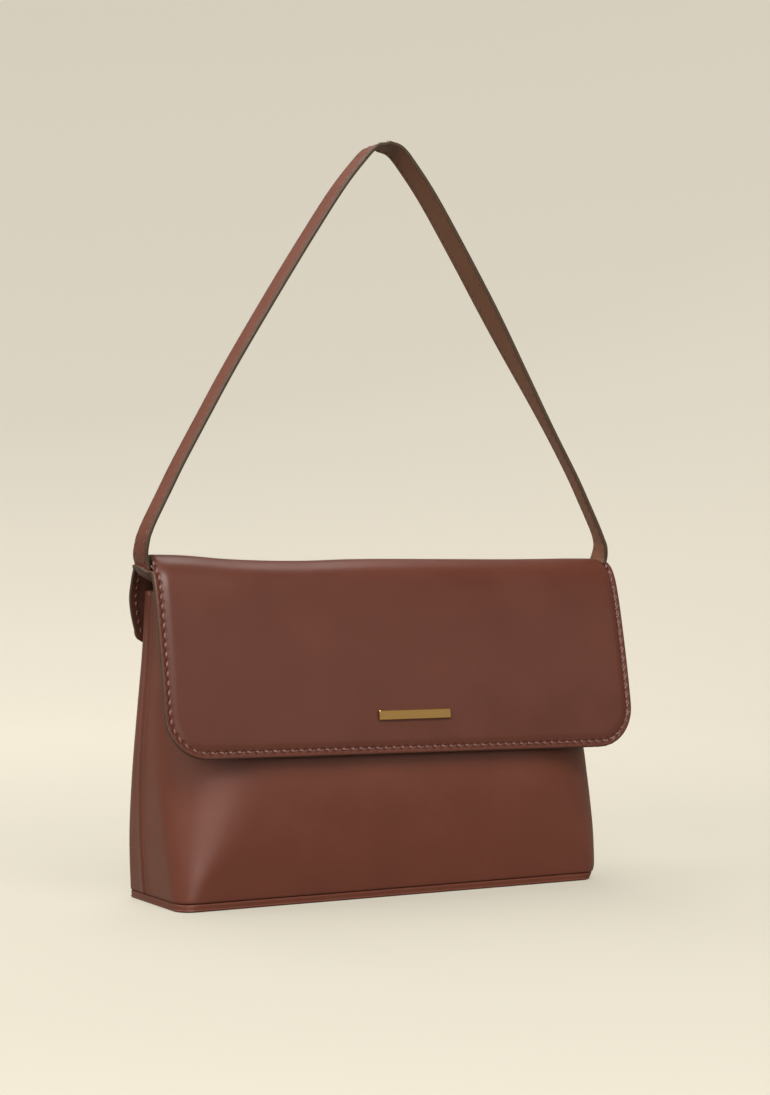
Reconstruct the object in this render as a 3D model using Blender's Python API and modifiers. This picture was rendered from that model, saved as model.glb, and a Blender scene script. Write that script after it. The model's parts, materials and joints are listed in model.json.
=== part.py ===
"""Shoulder bag with a front flap and a short strap that comes up through slots in the flap.

Metres, +Z up, the front faces -Y. The origin is at the middle of the underside.
"""

import math

import bmesh
import bpy
from mathutils import Matrix, Vector

# Driving dimensions: the body
BASE_WIDTH = 0.252
BASE_DEPTH = 0.066
BODY_HEIGHT = 0.158
GUSSET_DIP = 0.003
FRONT_CORNER_RADIUS = 0.034
BACK_CORNER_RADIUS = 0.016
CORNER_LIMIT = 0.85
CORNER_FLOOR = 0.25
FACE_BULGE = 0.001
SEAM_Y = 0.010
LIP_HEIGHT = 0.0038
LIP_RADIUS = 0.0025

# Driving dimensions: the flap and the crown that carries it
CROWN_RISE = 0.0166
RIDGE_Y = -0.0125
CROWN_DEPTH = 0.036
FLAP_DROP = 0.1001
HINGE_MARGIN = 0.0025
FLAP_TAPER = 0.0012
REAR_TAPER = 0.0130
FLAP_CORNER_RADIUS = 0.026
REAR_CORNER_RADIUS = 0.0060
CROWN_DROOP = 0.0052
DROOP_WIDTH = 0.0145
DROOP_RUN = 0.024

# Driving dimensions: the strap
STRAP_WIDTH = 0.016
STRAP_LAYER = 0.0009
STRAP_LEAN = 0.0027
STRAP_RISE = 0.2092
PIVOT_ABOVE_RIDGE = 0.0074
SLOT_OUTSIDE = 0.0110
SLOT_PLAY = 0.0011
SLOT_EDGE = 0.0033
STRAP_END_LENGTH = 0.019

# Driving dimensions: sheet thicknesses and clearances
LEATHER = 0.0018
FLAP_LEATHER = 0.0016
FLAP_BOARD = 0.0008
LINING = 0.0008
FACING = 0.0012
FACING_HEIGHT = 0.030
FACING_LAP = 0.006
FACING_GAP = 0.0005
LINING_GAP = 0.0022
BOARD = 0.0016
BOARD_MARGIN = 0.0035
TAPE = 0.0005
TAPE_WIDTH = 0.010
POCKET_WIDTH = 0.130
POCKET_HEIGHT = 0.085
POCKET_BELOW_FACING = 0.009
CLEARANCE = 0.0003
OVERRUN = 0.004

# Driving dimensions: the magnetic snap
SNAP_ABOVE_EDGE = 0.0345
SNAP_RADIUS = 0.007
SOCKET_DEPTH = 0.0028
SOCKET_WALL = 0.0006
SNAP_GAP = 0.0003
STUD_RADIUS = 0.0018
STUD_LENGTH = 0.0014
STUD_PLAY = 0.0008
SHANK_RADIUS = 0.0018
SHANK_BORE = 0.0010
WASHER_RADIUS = 0.0058
WASHER = 0.0004
FLARE = 0.0004
FLARE_RADIUS = 0.0030
SNAP_SEAT = 0.0002

# Driving dimensions: the metal bar on the flap
BAR_LENGTH = 0.042
BAR_HEIGHT = 0.0050
BAR_THICKNESS = 0.0016
BAR_BEVEL = 0.0005
BAR_ABOVE_EDGE = 0.0195
LEG_SPAN = 0.028
LEG_WIDTH = 0.0022
LEG_THICKNESS = 0.0005
LEG_FOOT = 0.0030
BAR_WASHER_LENGTH = 0.036
BAR_WASHER_HEIGHT = 0.0044

# Height share, the front, back and width shares of half the base's depth and width, and the
# share of the corners' full radius
BODY_SHAPE_SHARES = (
    (0.00, 1.000, 1.000, 0.986, 0.32),
    (0.20, 1.115, 1.030, 1.003, 0.58),
    (0.40, 1.160, 1.020, 1.006, 0.86),
    (0.60, 1.040, 0.940, 0.996, 0.90),
    (0.80, 0.940, 0.715, 0.982, 0.55),
    (1.00, 0.805, 0.450, 0.966, 0.27),
)

# Outer face of flap and crown, from the rear edge over the ridge to the front edge: shares of
# CROWN_DEPTH behind the ridge, and of FLAP_DROP below it
FLAP_PROFILE_SHARES = (
    (1.060, 0.436),
    (0.985, 0.300),
    (0.865, 0.165),
    (0.620, 0.055),
    (0.300, 0.010),
    (0.000, 0.000),
    (-0.153, 0.005),
    (-0.264, 0.022),
    (-0.389, 0.057),
    (-0.486, 0.112),
    (-0.560, 0.196),
    (-0.640, 0.316),
    (-0.750, 0.506),
    (-0.869, 0.746),
    (-0.960, 1.000),
)

# Centre line of one half of the strap, from its pivot to its top: shares of half the span and
# of the rise
STRAP_PATH_SHARES = (
    (1.000, 0.000),
    (0.998, 0.014),
    (0.982, 0.038),
    (0.957, 0.072),
    (0.928, 0.110),
    (0.864, 0.186),
    (0.762, 0.301),
    (0.663, 0.411),
    (0.554, 0.526),
    (0.443, 0.641),
    (0.330, 0.755),
    (0.206, 0.875),
    (0.115, 0.950),
    (0.055, 0.990),
    (0.000, 1.000),
)

PROFILE_STEPS = 16
FACE_STEPS = 8
CORNER_STEPS = 5
SIDE_STEPS = 2
BODY_ROWS = 8
FLOOR_ROWS = 3
FACING_ROWS = 3
POCKET_COLUMNS = 6
POCKET_ROWS = 4
TAPE_ROWS = 5
FLAP_CORNER_ROWS = 5
STRAP_STEPS = 2
STRAP_TIP_STEPS = 5
STRAP_END_STEPS = 5
ROUND_STEPS = 24
SEARCH_STEPS = 400
FLAP_COLUMN_SHARES = (0.0, 0.3, 0.6, 0.82, 0.90, 0.935, 0.97, 1.0)
CROWN_COLUMN_SHARES = (0.0, 0.35, 0.65, 0.82, 0.90, 0.935, 0.97, 1.0)

# Rows of the flap and of the crown by their distance from the hinge
FLAP_ROW_SHARES = (0.0, 0.015, 0.05, 0.10, 0.15, 0.20, 0.26, 0.36, 0.52, 0.75, 1.0)
CROWN_ROW_SHARES = (0.0, 0.03, 0.10, 0.18, 0.26, 0.35, 0.44, 0.53, 0.62, 0.71, 0.80, 0.90, 1.0)

# Sizes that follow from the ones above
RIDGE_HEIGHT = BODY_HEIGHT + CROWN_RISE
STRAP_Y = RIDGE_Y
STRAP_THICKNESS = 2 * STRAP_LAYER + CLEARANCE
PIVOT_HEIGHT = RIDGE_HEIGHT + PIVOT_ABOVE_RIDGE
MOUTH_WIDTH = BASE_WIDTH * BODY_SHAPE_SHARES[-1][3]
MOUTH_CORNER = FRONT_CORNER_RADIUS * BODY_SHAPE_SHARES[-1][4]
SLOT_SPAN = MOUTH_WIDTH + 2 * SLOT_OUTSIDE
SLOT_WIDTH = STRAP_THICKNESS + 2 * SLOT_PLAY
STRAP_SPAN = SLOT_SPAN + 2 * STRAP_LEAN
CROWN_WIDTH = SLOT_SPAN + SLOT_WIDTH + 2 * SLOT_EDGE
FLAP_WIDTH = CROWN_WIDTH - 2 * FLAP_TAPER
REAR_WIDTH = CROWN_WIDTH - 2 * REAR_TAPER
FACING_FLOOR = BODY_HEIGHT - FACING_HEIGHT
POCKET_FLOOR = FACING_FLOOR - POCKET_BELOW_FACING - POCKET_HEIGHT
SNAP_HEIGHT = RIDGE_HEIGHT - FLAP_DROP + SNAP_ABOVE_EDGE

BAG = "shoulder_bag"


def clear_scene():
    for item in list(bpy.data.objects):
        bpy.data.objects.remove(item)


def new_collection(name):
    collection = bpy.data.collections.new(name)
    bpy.context.scene.collection.children.link(collection)
    return collection


def new_material(name, colour, roughness, metallic=0.0):
    material = bpy.data.materials.new(name)
    material.use_nodes = True
    shader = material.node_tree.nodes["Principled BSDF"]
    shader.inputs["Base Color"].default_value = (*colour, 1.0)
    shader.inputs["Roughness"].default_value = roughness
    shader.inputs["Metallic"].default_value = metallic
    return material


def new_pivot(name, place):
    """An empty on a joint's axis, which carries the pieces that turn about it."""
    empty = bpy.data.objects.new(name, None)
    empty.location = place
    parts.objects.link(empty)
    return empty


def add_part(name, mesh, material, pivot=None, place=None):
    """One named piece of the bag, from a mesh in bag coordinates or with its own matrix."""
    item = bpy.data.objects.new(name, mesh)
    item.data.materials.append(material)
    parts.objects.link(item)
    if place is not None:
        item.matrix_world = place
    if pivot is not None:
        item.parent = pivot
        item.matrix_parent_inverse = Matrix.Translation(pivot.location).inverted()
    return item


def spline_through(points, steps):
    """A smooth curve through the points, with steps stretches between each two."""
    ends = [points[0] * 2 - points[1], *points, points[-1] * 2 - points[-2]]
    curve = []
    for before, start, end, after in zip(ends, ends[1:], ends[2:], ends[3:]):
        for step in range(steps):
            t = step / steps
            curve.append(
                (
                    start * 2
                    + (end - before) * t
                    + (before * 2 - start * 5 + end * 4 - after) * t**2
                    + (start * 3 - before - end * 3 + after) * t**3
                )
                / 2
            )
    return [*curve, points[-1]]


def shape_curve(column):
    rows = [Vector((row[0], row[column])) for row in BODY_SHAPE_SHARES]
    return spline_through(rows, PROFILE_STEPS)


def value_at(share, column):
    """A smooth reading of one column of the body's shape table."""
    curve = SHAPE_CURVES[column]
    step = min(int(share * (len(curve) - 1)), len(curve) - 2)
    low, high = curve[step], curve[step + 1]
    return low.y + (high.y - low.y) * (share - low.x) / (high.x - low.x)


def smooth_step(share):
    share = min(max(share, 0.0), 1.0)
    return share * share * (3 - 2 * share)


def sheet_mesh(name, rows, closed=False, capped=False):
    """A grid of faces between rows of points; closed joins the ends, capped fills row 0."""
    mesh = bpy.data.meshes.new(name)
    work = bmesh.new()
    grid = [[work.verts.new(point) for point in row] for row in rows]
    for low, high in zip(grid, grid[1:]):
        count = len(low)
        for i in range(count if closed else count - 1):
            j = (i + 1) % count
            work.faces.new((low[i], low[j], high[j], high[i]))
    if capped:
        work.faces.new(list(reversed(grid[0])))
    work.to_mesh(mesh)
    work.free()
    mesh.shade_smooth()
    return mesh


def thicken(item, thickness, offset=-1.0):
    solid = item.modifiers.new("thickness", "SOLIDIFY")
    solid.thickness = thickness
    solid.offset = offset
    solid.use_even_offset = True
    return item


def cut(item, cutter):
    hole = item.modifiers.new("cut", "BOOLEAN")
    hole.operation = "DIFFERENCE"
    hole.object = cutter
    return item


def unite(item, added):
    joint = item.modifiers.new("join", "BOOLEAN")
    joint.operation = "UNION"
    joint.object = added
    return item


def add_guide(name, mesh, place):
    """A cutter or a shape to be joined, which is no piece of the bag itself."""
    item = bpy.data.objects.new(name, mesh)
    guides.objects.link(item)
    item.matrix_world = place
    item.hide_render = True
    item.display_type = "WIRE"
    return item


def box_mesh(name, size):
    work = bmesh.new()
    bmesh.ops.create_cube(work, size=1.0, matrix=Matrix.Diagonal((*size, 1.0)))
    mesh = bpy.data.meshes.new(name)
    work.to_mesh(mesh)
    work.free()
    return mesh


def disc_mesh(name, radius, depth):
    work = bmesh.new()
    bmesh.ops.create_cone(
        work,
        cap_ends=True,
        segments=ROUND_STEPS,
        radius1=radius,
        radius2=radius,
        depth=depth,
    )
    mesh = bpy.data.meshes.new(name)
    work.to_mesh(mesh)
    work.free()
    return mesh


def turned_part(name, profile, material, place, pivot=None, ring=False):
    """A turned piece from (radius, height) points down its outer side; a ring's profile closes."""
    mesh = bpy.data.meshes.new(name)
    work = bmesh.new()
    points = [work.verts.new((radius, 0.0, height)) for radius, height in profile]
    pairs = list(zip(points, points[1:])) + ([(points[-1], points[0])] if ring else [])
    for start, end in pairs:
        work.edges.new((start, end))
    work.to_mesh(mesh)
    work.free()
    item = add_part(name, mesh, material, pivot, place)
    turn = item.modifiers.new("turn", "SCREW")
    turn.steps = turn.render_steps = ROUND_STEPS
    turn.use_merge_vertices = True
    turn.merge_threshold = CLEARANCE / 100
    return item


# Body outline


def body_share(height):
    return height / BODY_HEIGHT


def half_width(height, inset=0.0):
    return BASE_WIDTH / 2 * value_at(body_share(height), 3) - inset


def face_point(side, x, height, inset=0.0):
    """A point on the front (side -1) or back (side 1) face, at x and a height."""
    column = 1 if side < 0 else 2
    depth = BASE_DEPTH / 2 * value_at(body_share(height), column) - inset
    bulge = FACE_BULGE * math.sin(math.pi * min(body_share(height), 1.0))
    reach = 1 - (x / half_width(height)) ** 2
    return Vector((x, side * (depth + bulge * reach), height))


def face_matrix(side, x, height, out=0.0):
    """A frame on a face with +Z square to it, out metres outside it."""
    here = face_point(side, x, height)
    above = face_point(side, x, height + CLEARANCE)
    rise = (above - here).normalized()
    normal = rise.cross(Vector((1.0, 0.0, 0.0))) * -side
    if normal.y * side < 0:
        normal = -normal
    turn = normal.to_track_quat("Z", "X").to_matrix().to_4x4()
    return Matrix.Translation(here + normal * out) @ turn


def seam_at(height):
    """How far back the side seam runs at a height."""
    return SEAM_Y * value_at(body_share(height), 2)


def corner_at(side, height, inset=0.0):
    """The radius of a face's corners at a height, and where the straight side ends."""
    radius = FRONT_CORNER_RADIUS if side < 0 else BACK_CORNER_RADIUS
    radius *= value_at(body_share(height), 4)
    face = face_point(side, half_width(height) - radius, height).y
    radius = min(radius, CORNER_LIMIT * abs(face - seam_at(height)))
    radius = max(radius - inset, radius * CORNER_FLOOR)
    return radius, face - side * (inset + radius)


def half_section(side, height, inset=0.0, seam_gap=0.0):
    """One half of the outline at a height, from the left side seam to the right one."""
    width = half_width(height, inset)
    radius, turn_y = corner_at(side, height, inset)
    seam = seam_at(height) + side * seam_gap / 2
    left = [
        Vector((-width, seam + (turn_y - seam) * step / SIDE_STEPS, height))
        for step in range(SIDE_STEPS)
    ]
    for step in range(CORNER_STEPS):
        angle = math.pi / 2 * step / CORNER_STEPS
        left.append(
            Vector(
                (
                    -width + radius * (1 - math.cos(angle)),
                    turn_y + side * radius * math.sin(angle),
                    height,
                )
            )
        )
    reach = width - radius
    middle = [
        face_point(side, -reach + 2 * reach * step / FACE_STEPS, height, inset)
        for step in range(FACE_STEPS + 1)
    ]
    right = [Vector((-p.x, p.y, p.z)) for p in reversed(left)]
    return left + middle + right


def full_section(height, inset):
    """The whole outline at a height, anticlockwise from the left side seam."""
    back = half_section(1, height, inset)
    return half_section(-1, height, inset) + list(reversed(back))[1:-1]


def mouth_height(x, height):
    """The height of the mouth's edge at x, where height is its height on the faces."""
    start = half_width(BODY_HEIGHT) - MOUTH_CORNER
    share = smooth_step((abs(x) - start) / MOUTH_CORNER)
    return height - GUSSET_DIP * share


def raised_rows(section, floor, top, count):
    """Rows of one outline function from a floor up to the dipped mouth line."""
    rows = []
    for row in range(count + 1):
        share = row / count
        level = section(floor + (top - floor) * share)
        heights = [floor + (mouth_height(p.x, top) - floor) * share for p in level]
        rows.append([section(height)[i] for i, height in enumerate(heights)])
    return rows


def rounded_floor_rows(floor, inset, radius):
    """Rows that turn a flat floor up into the walls."""
    rows = []
    for step in range(FLOOR_ROWS):
        angle = math.pi / 2 * step / FLOOR_ROWS
        drawn_in = inset + radius * (1 - math.sin(angle))
        height = floor + radius * (1 - math.cos(angle))
        rows.append(
            [Vector((p.x, p.y, height)) for p in full_section(height, drawn_in)]
        )
    return rows


# Flap outline


def flap_profile():
    points = [
        Vector((RIDGE_Y + back * CROWN_DEPTH, RIDGE_HEIGHT - down * FLAP_DROP))
        for back, down in FLAP_PROFILE_SHARES
    ]
    return spline_through(points, PROFILE_STEPS)


def profile_lengths(curve):
    lengths = [0.0]
    for start, end in zip(curve, curve[1:]):
        lengths.append(lengths[-1] + (end - start).length)
    return lengths


def profile_at(distance, depth=0.0):
    """The point of the flap's profile at a distance from its rear edge, depth below its face."""
    for i, length in enumerate(FLAP_LENGTHS[1:]):
        if distance <= length or i == len(FLAP_LENGTHS) - 2:
            break
    start, end = FLAP_CURVE[i], FLAP_CURVE[i + 1]
    along = (end - start).normalized()
    outward = Vector((-along.y, along.x)) * -1
    return start + along * (distance - FLAP_LENGTHS[i]) - outward * depth, outward


def leather_half_width(distance):
    """Half the width of flap and crown at a distance from the rear edge, before its corners."""
    share = distance / RIDGE_DISTANCE
    if share < 1:
        return (REAR_WIDTH + (CROWN_WIDTH - REAR_WIDTH) * smooth_step(share)) / 2
    share = (distance - RIDGE_DISTANCE) / (HINGE_DISTANCE - RIDGE_DISTANCE)
    return (CROWN_WIDTH + (FLAP_WIDTH - CROWN_WIDTH) * smooth_step(share)) / 2


def corner_rows(edge_distance, direction, radius):
    """Distances along the profile and the widths cut off there by a round corner."""
    rows = []
    for step in range(FLAP_CORNER_ROWS):
        angle = math.pi / 2 * step / FLAP_CORNER_ROWS
        rows.append(
            (
                edge_distance + direction * radius * (1 - math.cos(angle)),
                radius * (1 - math.sin(angle)),
            )
        )
    return rows


def droop_at(x, distance):
    """How far the leather sinks beyond the body's sides, where only the strap holds it up."""
    start = CROWN_WIDTH / 2 - DROOP_WIDTH
    across = smooth_step((abs(x) - start) / DROOP_WIDTH)
    rising = smooth_step(distance / (RIDGE_DISTANCE / 2))
    falling = 1 - smooth_step((distance - RIDGE_DISTANCE) / DROOP_RUN)
    return CROWN_DROOP * across * rising * falling


def leather_rows(stations, column_shares, depth):
    """Rows of points on flap or crown, depth below the outer face."""
    shares = [*reversed(column_shares), *(-share for share in column_shares[1:])]
    rows = []
    for distance, cut_off in stations:
        point, outward = profile_at(distance, depth)
        width = leather_half_width(distance) - cut_off
        row = []
        for share in shares:
            x = share * width
            sunk = point - outward * droop_at(x, distance)
            row.append(Vector((x, sunk.x, sunk.y)))
        rows.append(row)
    return rows


def flap_stations():
    start = HINGE_DISTANCE + CLEARANCE / 2
    end = FLAP_LENGTHS[-1]
    corner = corner_rows(end, -1, FLAP_CORNER_RADIUS)
    length = end - FLAP_CORNER_RADIUS - start
    straight = [(start + length * share, 0.0) for share in FLAP_ROW_SHARES]
    return straight + list(reversed(corner))


def crown_stations():
    end = HINGE_DISTANCE - CLEARANCE / 2
    corner = corner_rows(0.0, 1, REAR_CORNER_RADIUS)
    length = end - REAR_CORNER_RADIUS
    straight = [(end - length * share, 0.0) for share in reversed(CROWN_ROW_SHARES)]
    return corner + straight


def flap_distance_facing(place):
    """The distance along the profile at which the flap's inner side faces a place square on."""
    target = Vector((place.y, place.z))
    steps = [FLAP_LENGTHS[-1] * step / SEARCH_STEPS for step in range(SEARCH_STEPS + 1)]
    return min(steps, key=lambda distance: (profile_at(distance)[0] - target).length)


def flap_matrix(distance, depth):
    """A frame on the flap at x = 0 with +Z out of its face, depth below it."""
    point, outward = profile_at(distance, depth)
    normal = Vector((0.0, outward.x, outward.y))
    turn = normal.to_track_quat("Z", "X").to_matrix().to_4x4()
    return Matrix.Translation((0.0, point.x, point.y)) @ turn


clear_scene()
parts = new_collection(BAG)
guides = new_collection(BAG + "_guides")

SHAPE_CURVES = {column: shape_curve(column) for column in (1, 2, 3, 4)}
FLAP_CURVE = flap_profile()
FLAP_LENGTHS = profile_lengths(FLAP_CURVE)
RIDGE_DISTANCE = FLAP_LENGTHS[FLAP_PROFILE_SHARES.index((0.000, 0.000)) * PROFILE_STEPS]
HINGE_DISTANCE = RIDGE_DISTANCE + STRAP_WIDTH / 2 + SLOT_PLAY + HINGE_MARGIN

BURGUNDY = new_material("smooth_leather", (0.150, 0.052, 0.038), 0.42)
STRAP_SKIN = new_material("strap_leather", (0.165, 0.060, 0.043), 0.45)
CLOTH = new_material("lining_cloth", (0.085, 0.045, 0.035), 0.85)
BOARD_GREY = new_material("fibre_board", (0.320, 0.280, 0.220), 0.90)
GOLD = new_material("gold_plate", (0.780, 0.520, 0.220), 0.25, 1.0)
STEEL = new_material("snap_steel", (0.560, 0.540, 0.500), 0.30, 1.0)

hinge_point = profile_at(HINGE_DISTANCE)[0]
flap_pivot = new_pivot("flap_pivot", (0.0, hinge_point.x, hinge_point.y))
strap_pivot = new_pivot("strap_pivot", (0.0, STRAP_Y, PIVOT_HEIGHT))


def build_panels():
    floor = LIP_HEIGHT + CLEARANCE
    for name, side in (("front_panel", -1), ("back_panel", 1)):
        def section(height, side=side):
            return half_section(side, height, 0.0, CLEARANCE)

        rows = raised_rows(section, floor, BODY_HEIGHT, BODY_ROWS)
        if side > 0:
            rows = [list(reversed(row)) for row in rows]
        item = add_part(name, sheet_mesh(name, rows), BURGUNDY)
        thicken(item, LEATHER)
    return floor


def build_base():
    rows = rounded_floor_rows(0.0, 0.0, LIP_RADIUS)
    for height in (LIP_RADIUS, LIP_HEIGHT):
        rows.append([Vector((p.x, p.y, height)) for p in full_section(height, 0.0)])
    item = add_part(
        "base_panel", sheet_mesh("base_panel", rows, closed=True, capped=True), BURGUNDY
    )
    thicken(item, LEATHER)

    floor = LEATHER + CLEARANCE
    outline = full_section(floor, LEATHER + BOARD_MARGIN)
    curve = bpy.data.curves.new("base_board", "CURVE")
    curve.dimensions = "2D"
    curve.fill_mode = "BOTH"
    curve.extrude = BOARD / 2
    line = curve.splines.new("POLY")
    line.points.add(len(outline) - 1)
    for point, place in zip(line.points, outline):
        point.co = (place.x, place.y, 0.0, 1.0)
    line.use_cyclic_u = True
    add_part(
        "base_board",
        curve,
        BOARD_GREY,
        place=Matrix.Translation((0.0, 0.0, floor + BOARD / 2)),
    )
    return floor + BOARD + CLEARANCE


def build_lining(floor):
    inset = LEATHER + LINING_GAP
    radius = LIP_RADIUS * 2
    rows = rounded_floor_rows(floor, inset, radius)
    rows += raised_rows(
        lambda height: full_section(height, inset),
        floor + radius,
        FACING_FLOOR + FACING_LAP,
        BODY_ROWS - 2,
    )
    item = add_part(
        "lining", sheet_mesh("lining", rows, closed=True, capped=True), CLOTH
    )
    thicken(item, LINING)

    rows = raised_rows(
        lambda height: full_section(height, LEATHER + FACING_GAP),
        FACING_FLOOR,
        BODY_HEIGHT,
        FACING_ROWS,
    )
    item = add_part(
        "mouth_facing", sheet_mesh("mouth_facing", rows, closed=True), BURGUNDY
    )
    thicken(item, FACING)

    inset += LINING + CLEARANCE
    rows = [
        [
            face_point(
                1,
                POCKET_WIDTH * (0.5 - column / POCKET_COLUMNS),
                POCKET_FLOOR + POCKET_HEIGHT * row / POCKET_ROWS,
                inset,
            )
            for column in range(POCKET_COLUMNS + 1)
        ]
        for row in range(POCKET_ROWS + 1)
    ]
    item = add_part("slip_pocket", sheet_mesh("slip_pocket", rows), CLOTH)
    thicken(item, LINING)


def build_seam_tapes(floor):
    """Reinforcing tape inside each side seam, below the facing."""
    top = FACING_FLOOR - GUSSET_DIP - CLEARANCE
    for name, side in (("seam_tape_left", -1), ("seam_tape_right", 1)):
        rows = []
        for row in range(TAPE_ROWS + 1):
            height = floor + (top - floor) * row / TAPE_ROWS
            x = side * half_width(height, LEATHER + CLEARANCE)
            y = seam_at(height)
            ends = (
                Vector((x, y - side * TAPE_WIDTH / 2, height)),
                Vector((x, y + side * TAPE_WIDTH / 2, height)),
            )
            rows.append(ends)
        thicken(add_part(name, sheet_mesh(name, rows), CLOTH), TAPE)


def build_crown():
    stations = crown_stations()
    layers = (
        ("flap_crown", 0.0, FLAP_LEATHER, BURGUNDY),
        ("flap_crown_lining", FLAP_LEATHER + CLEARANCE, LINING, BURGUNDY),
    )
    slots = []
    for name, side in (("slot_left", -1), ("slot_right", 1)):
        size = (SLOT_WIDTH, STRAP_WIDTH + 2 * SLOT_PLAY, 4 * CROWN_DROOP)
        place = Matrix.Translation(
            (side * SLOT_SPAN / 2, STRAP_Y, RIDGE_HEIGHT - CROWN_DROOP)
        )
        slots.append(add_guide(name, box_mesh(name, size), place))
    for name, depth, thickness, material in layers:
        rows = leather_rows(stations, CROWN_COLUMN_SHARES, depth)
        item = add_part(name, sheet_mesh(name, rows), material)
        thicken(item, thickness)
        for slot in slots:
            cut(item, slot)


def build_flap():
    stations = flap_stations()
    board_depth = FLAP_LEATHER + CLEARANCE
    lining_depth = board_depth + FLAP_BOARD + CLEARANCE
    items = {}
    for name, depth, thickness, material in (
        ("flap_leather", 0.0, FLAP_LEATHER, BURGUNDY),
        ("flap_stiffener", board_depth, FLAP_BOARD, BOARD_GREY),
        ("flap_lining", lining_depth, LINING, BURGUNDY),
    ):
        rows = leather_rows(stations, FLAP_COLUMN_SHARES, depth)
        item = add_part(name, sheet_mesh(name, rows), material, flap_pivot)
        items[name] = thicken(item, thickness)
    return items, lining_depth + LINING


def build_bar(flap):
    """The metal bar, its two legs through the leather and the washer they are bent over."""
    distance = FLAP_LENGTHS[-1] - BAR_ABOVE_EDGE
    place = flap_matrix(distance, -CLEARANCE - BAR_THICKNESS / 2)
    bar = add_part(
        "metal_bar",
        box_mesh("metal_bar", (BAR_HEIGHT, BAR_LENGTH, BAR_THICKNESS)),
        GOLD,
        flap_pivot,
        place,
    )
    edge = bar.modifiers.new("edge", "BEVEL")
    edge.width = BAR_BEVEL
    edge.segments = 2

    washer_depth = FLAP_LEATHER + SNAP_SEAT + WASHER / 2
    foot_depth = FLAP_LEATHER + 2 * SNAP_SEAT + WASHER + LEG_THICKNESS / 2
    for side in (-1, 1):
        y = side * LEG_SPAN / 2
        top = CLEARANCE + BAR_THICKNESS / 2
        length = foot_depth + LEG_THICKNESS / 2 + top
        leg = add_guide(
            "bar_leg",
            box_mesh("bar_leg", (LEG_WIDTH, LEG_THICKNESS, length)),
            flap_matrix(distance, length / 2 - top) @ Matrix.Translation((0.0, y, 0.0)),
        )
        foot = add_guide(
            "bar_foot",
            box_mesh("bar_foot", (LEG_WIDTH, LEG_FOOT, LEG_THICKNESS)),
            flap_matrix(distance, foot_depth)
            @ Matrix.Translation((0.0, y + side * (LEG_FOOT - LEG_THICKNESS) / 2, 0.0)),
        )
        unite(bar, leg)
        unite(bar, foot)

    washer = add_part(
        "metal_bar_washer",
        box_mesh("metal_bar_washer", (BAR_WASHER_HEIGHT, BAR_WASHER_LENGTH, WASHER)),
        STEEL,
        flap_pivot,
        flap_matrix(distance, washer_depth),
    )
    room = LEG_THICKNESS + 2 * SNAP_SEAT
    for side in (-1, 1):
        hole = add_guide(
            "leg_hole",
            box_mesh("leg_hole", (LEG_WIDTH + 2 * SNAP_SEAT, room, 2 * OVERRUN)),
            flap_matrix(distance, 0.0)
            @ Matrix.Translation((0.0, side * LEG_SPAN / 2, 0.0)),
        )
        cut(flap["flap_leather"], hole)
        cut(washer, hole)
    window = add_guide(
        "washer_window",
        box_mesh(
            "washer_window",
            (BAR_WASHER_HEIGHT + OVERRUN, BAR_WASHER_LENGTH + OVERRUN, 2 * FLAP_BOARD),
        ),
        flap_matrix(distance, FLAP_LEATHER + CLEARANCE + FLAP_BOARD / 2),
    )
    cut(flap["flap_stiffener"], window)


def rivet_profile(outer, through):
    """The lower part of a riveted snap half: shank through a sheet, then its flared end."""
    seat = SNAP_SEAT
    return [
        (outer, 0.0),
        (SHANK_RADIUS, 0.0),
        (SHANK_RADIUS, -through - 2 * seat - WASHER),
        (FLARE_RADIUS, -through - 2 * seat - WASHER),
        (FLARE_RADIUS, -through - 2 * seat - WASHER - FLARE),
    ]


def washer_part(name, place, pivot=None):
    hole = SHANK_RADIUS + SNAP_SEAT
    profile = [
        (hole, WASHER / 2),
        (WASHER_RADIUS, WASHER / 2),
        (WASHER_RADIUS, -WASHER / 2),
        (hole, -WASHER / 2),
    ]
    turned_part(name, profile, STEEL, place, pivot, ring=True)


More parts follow.
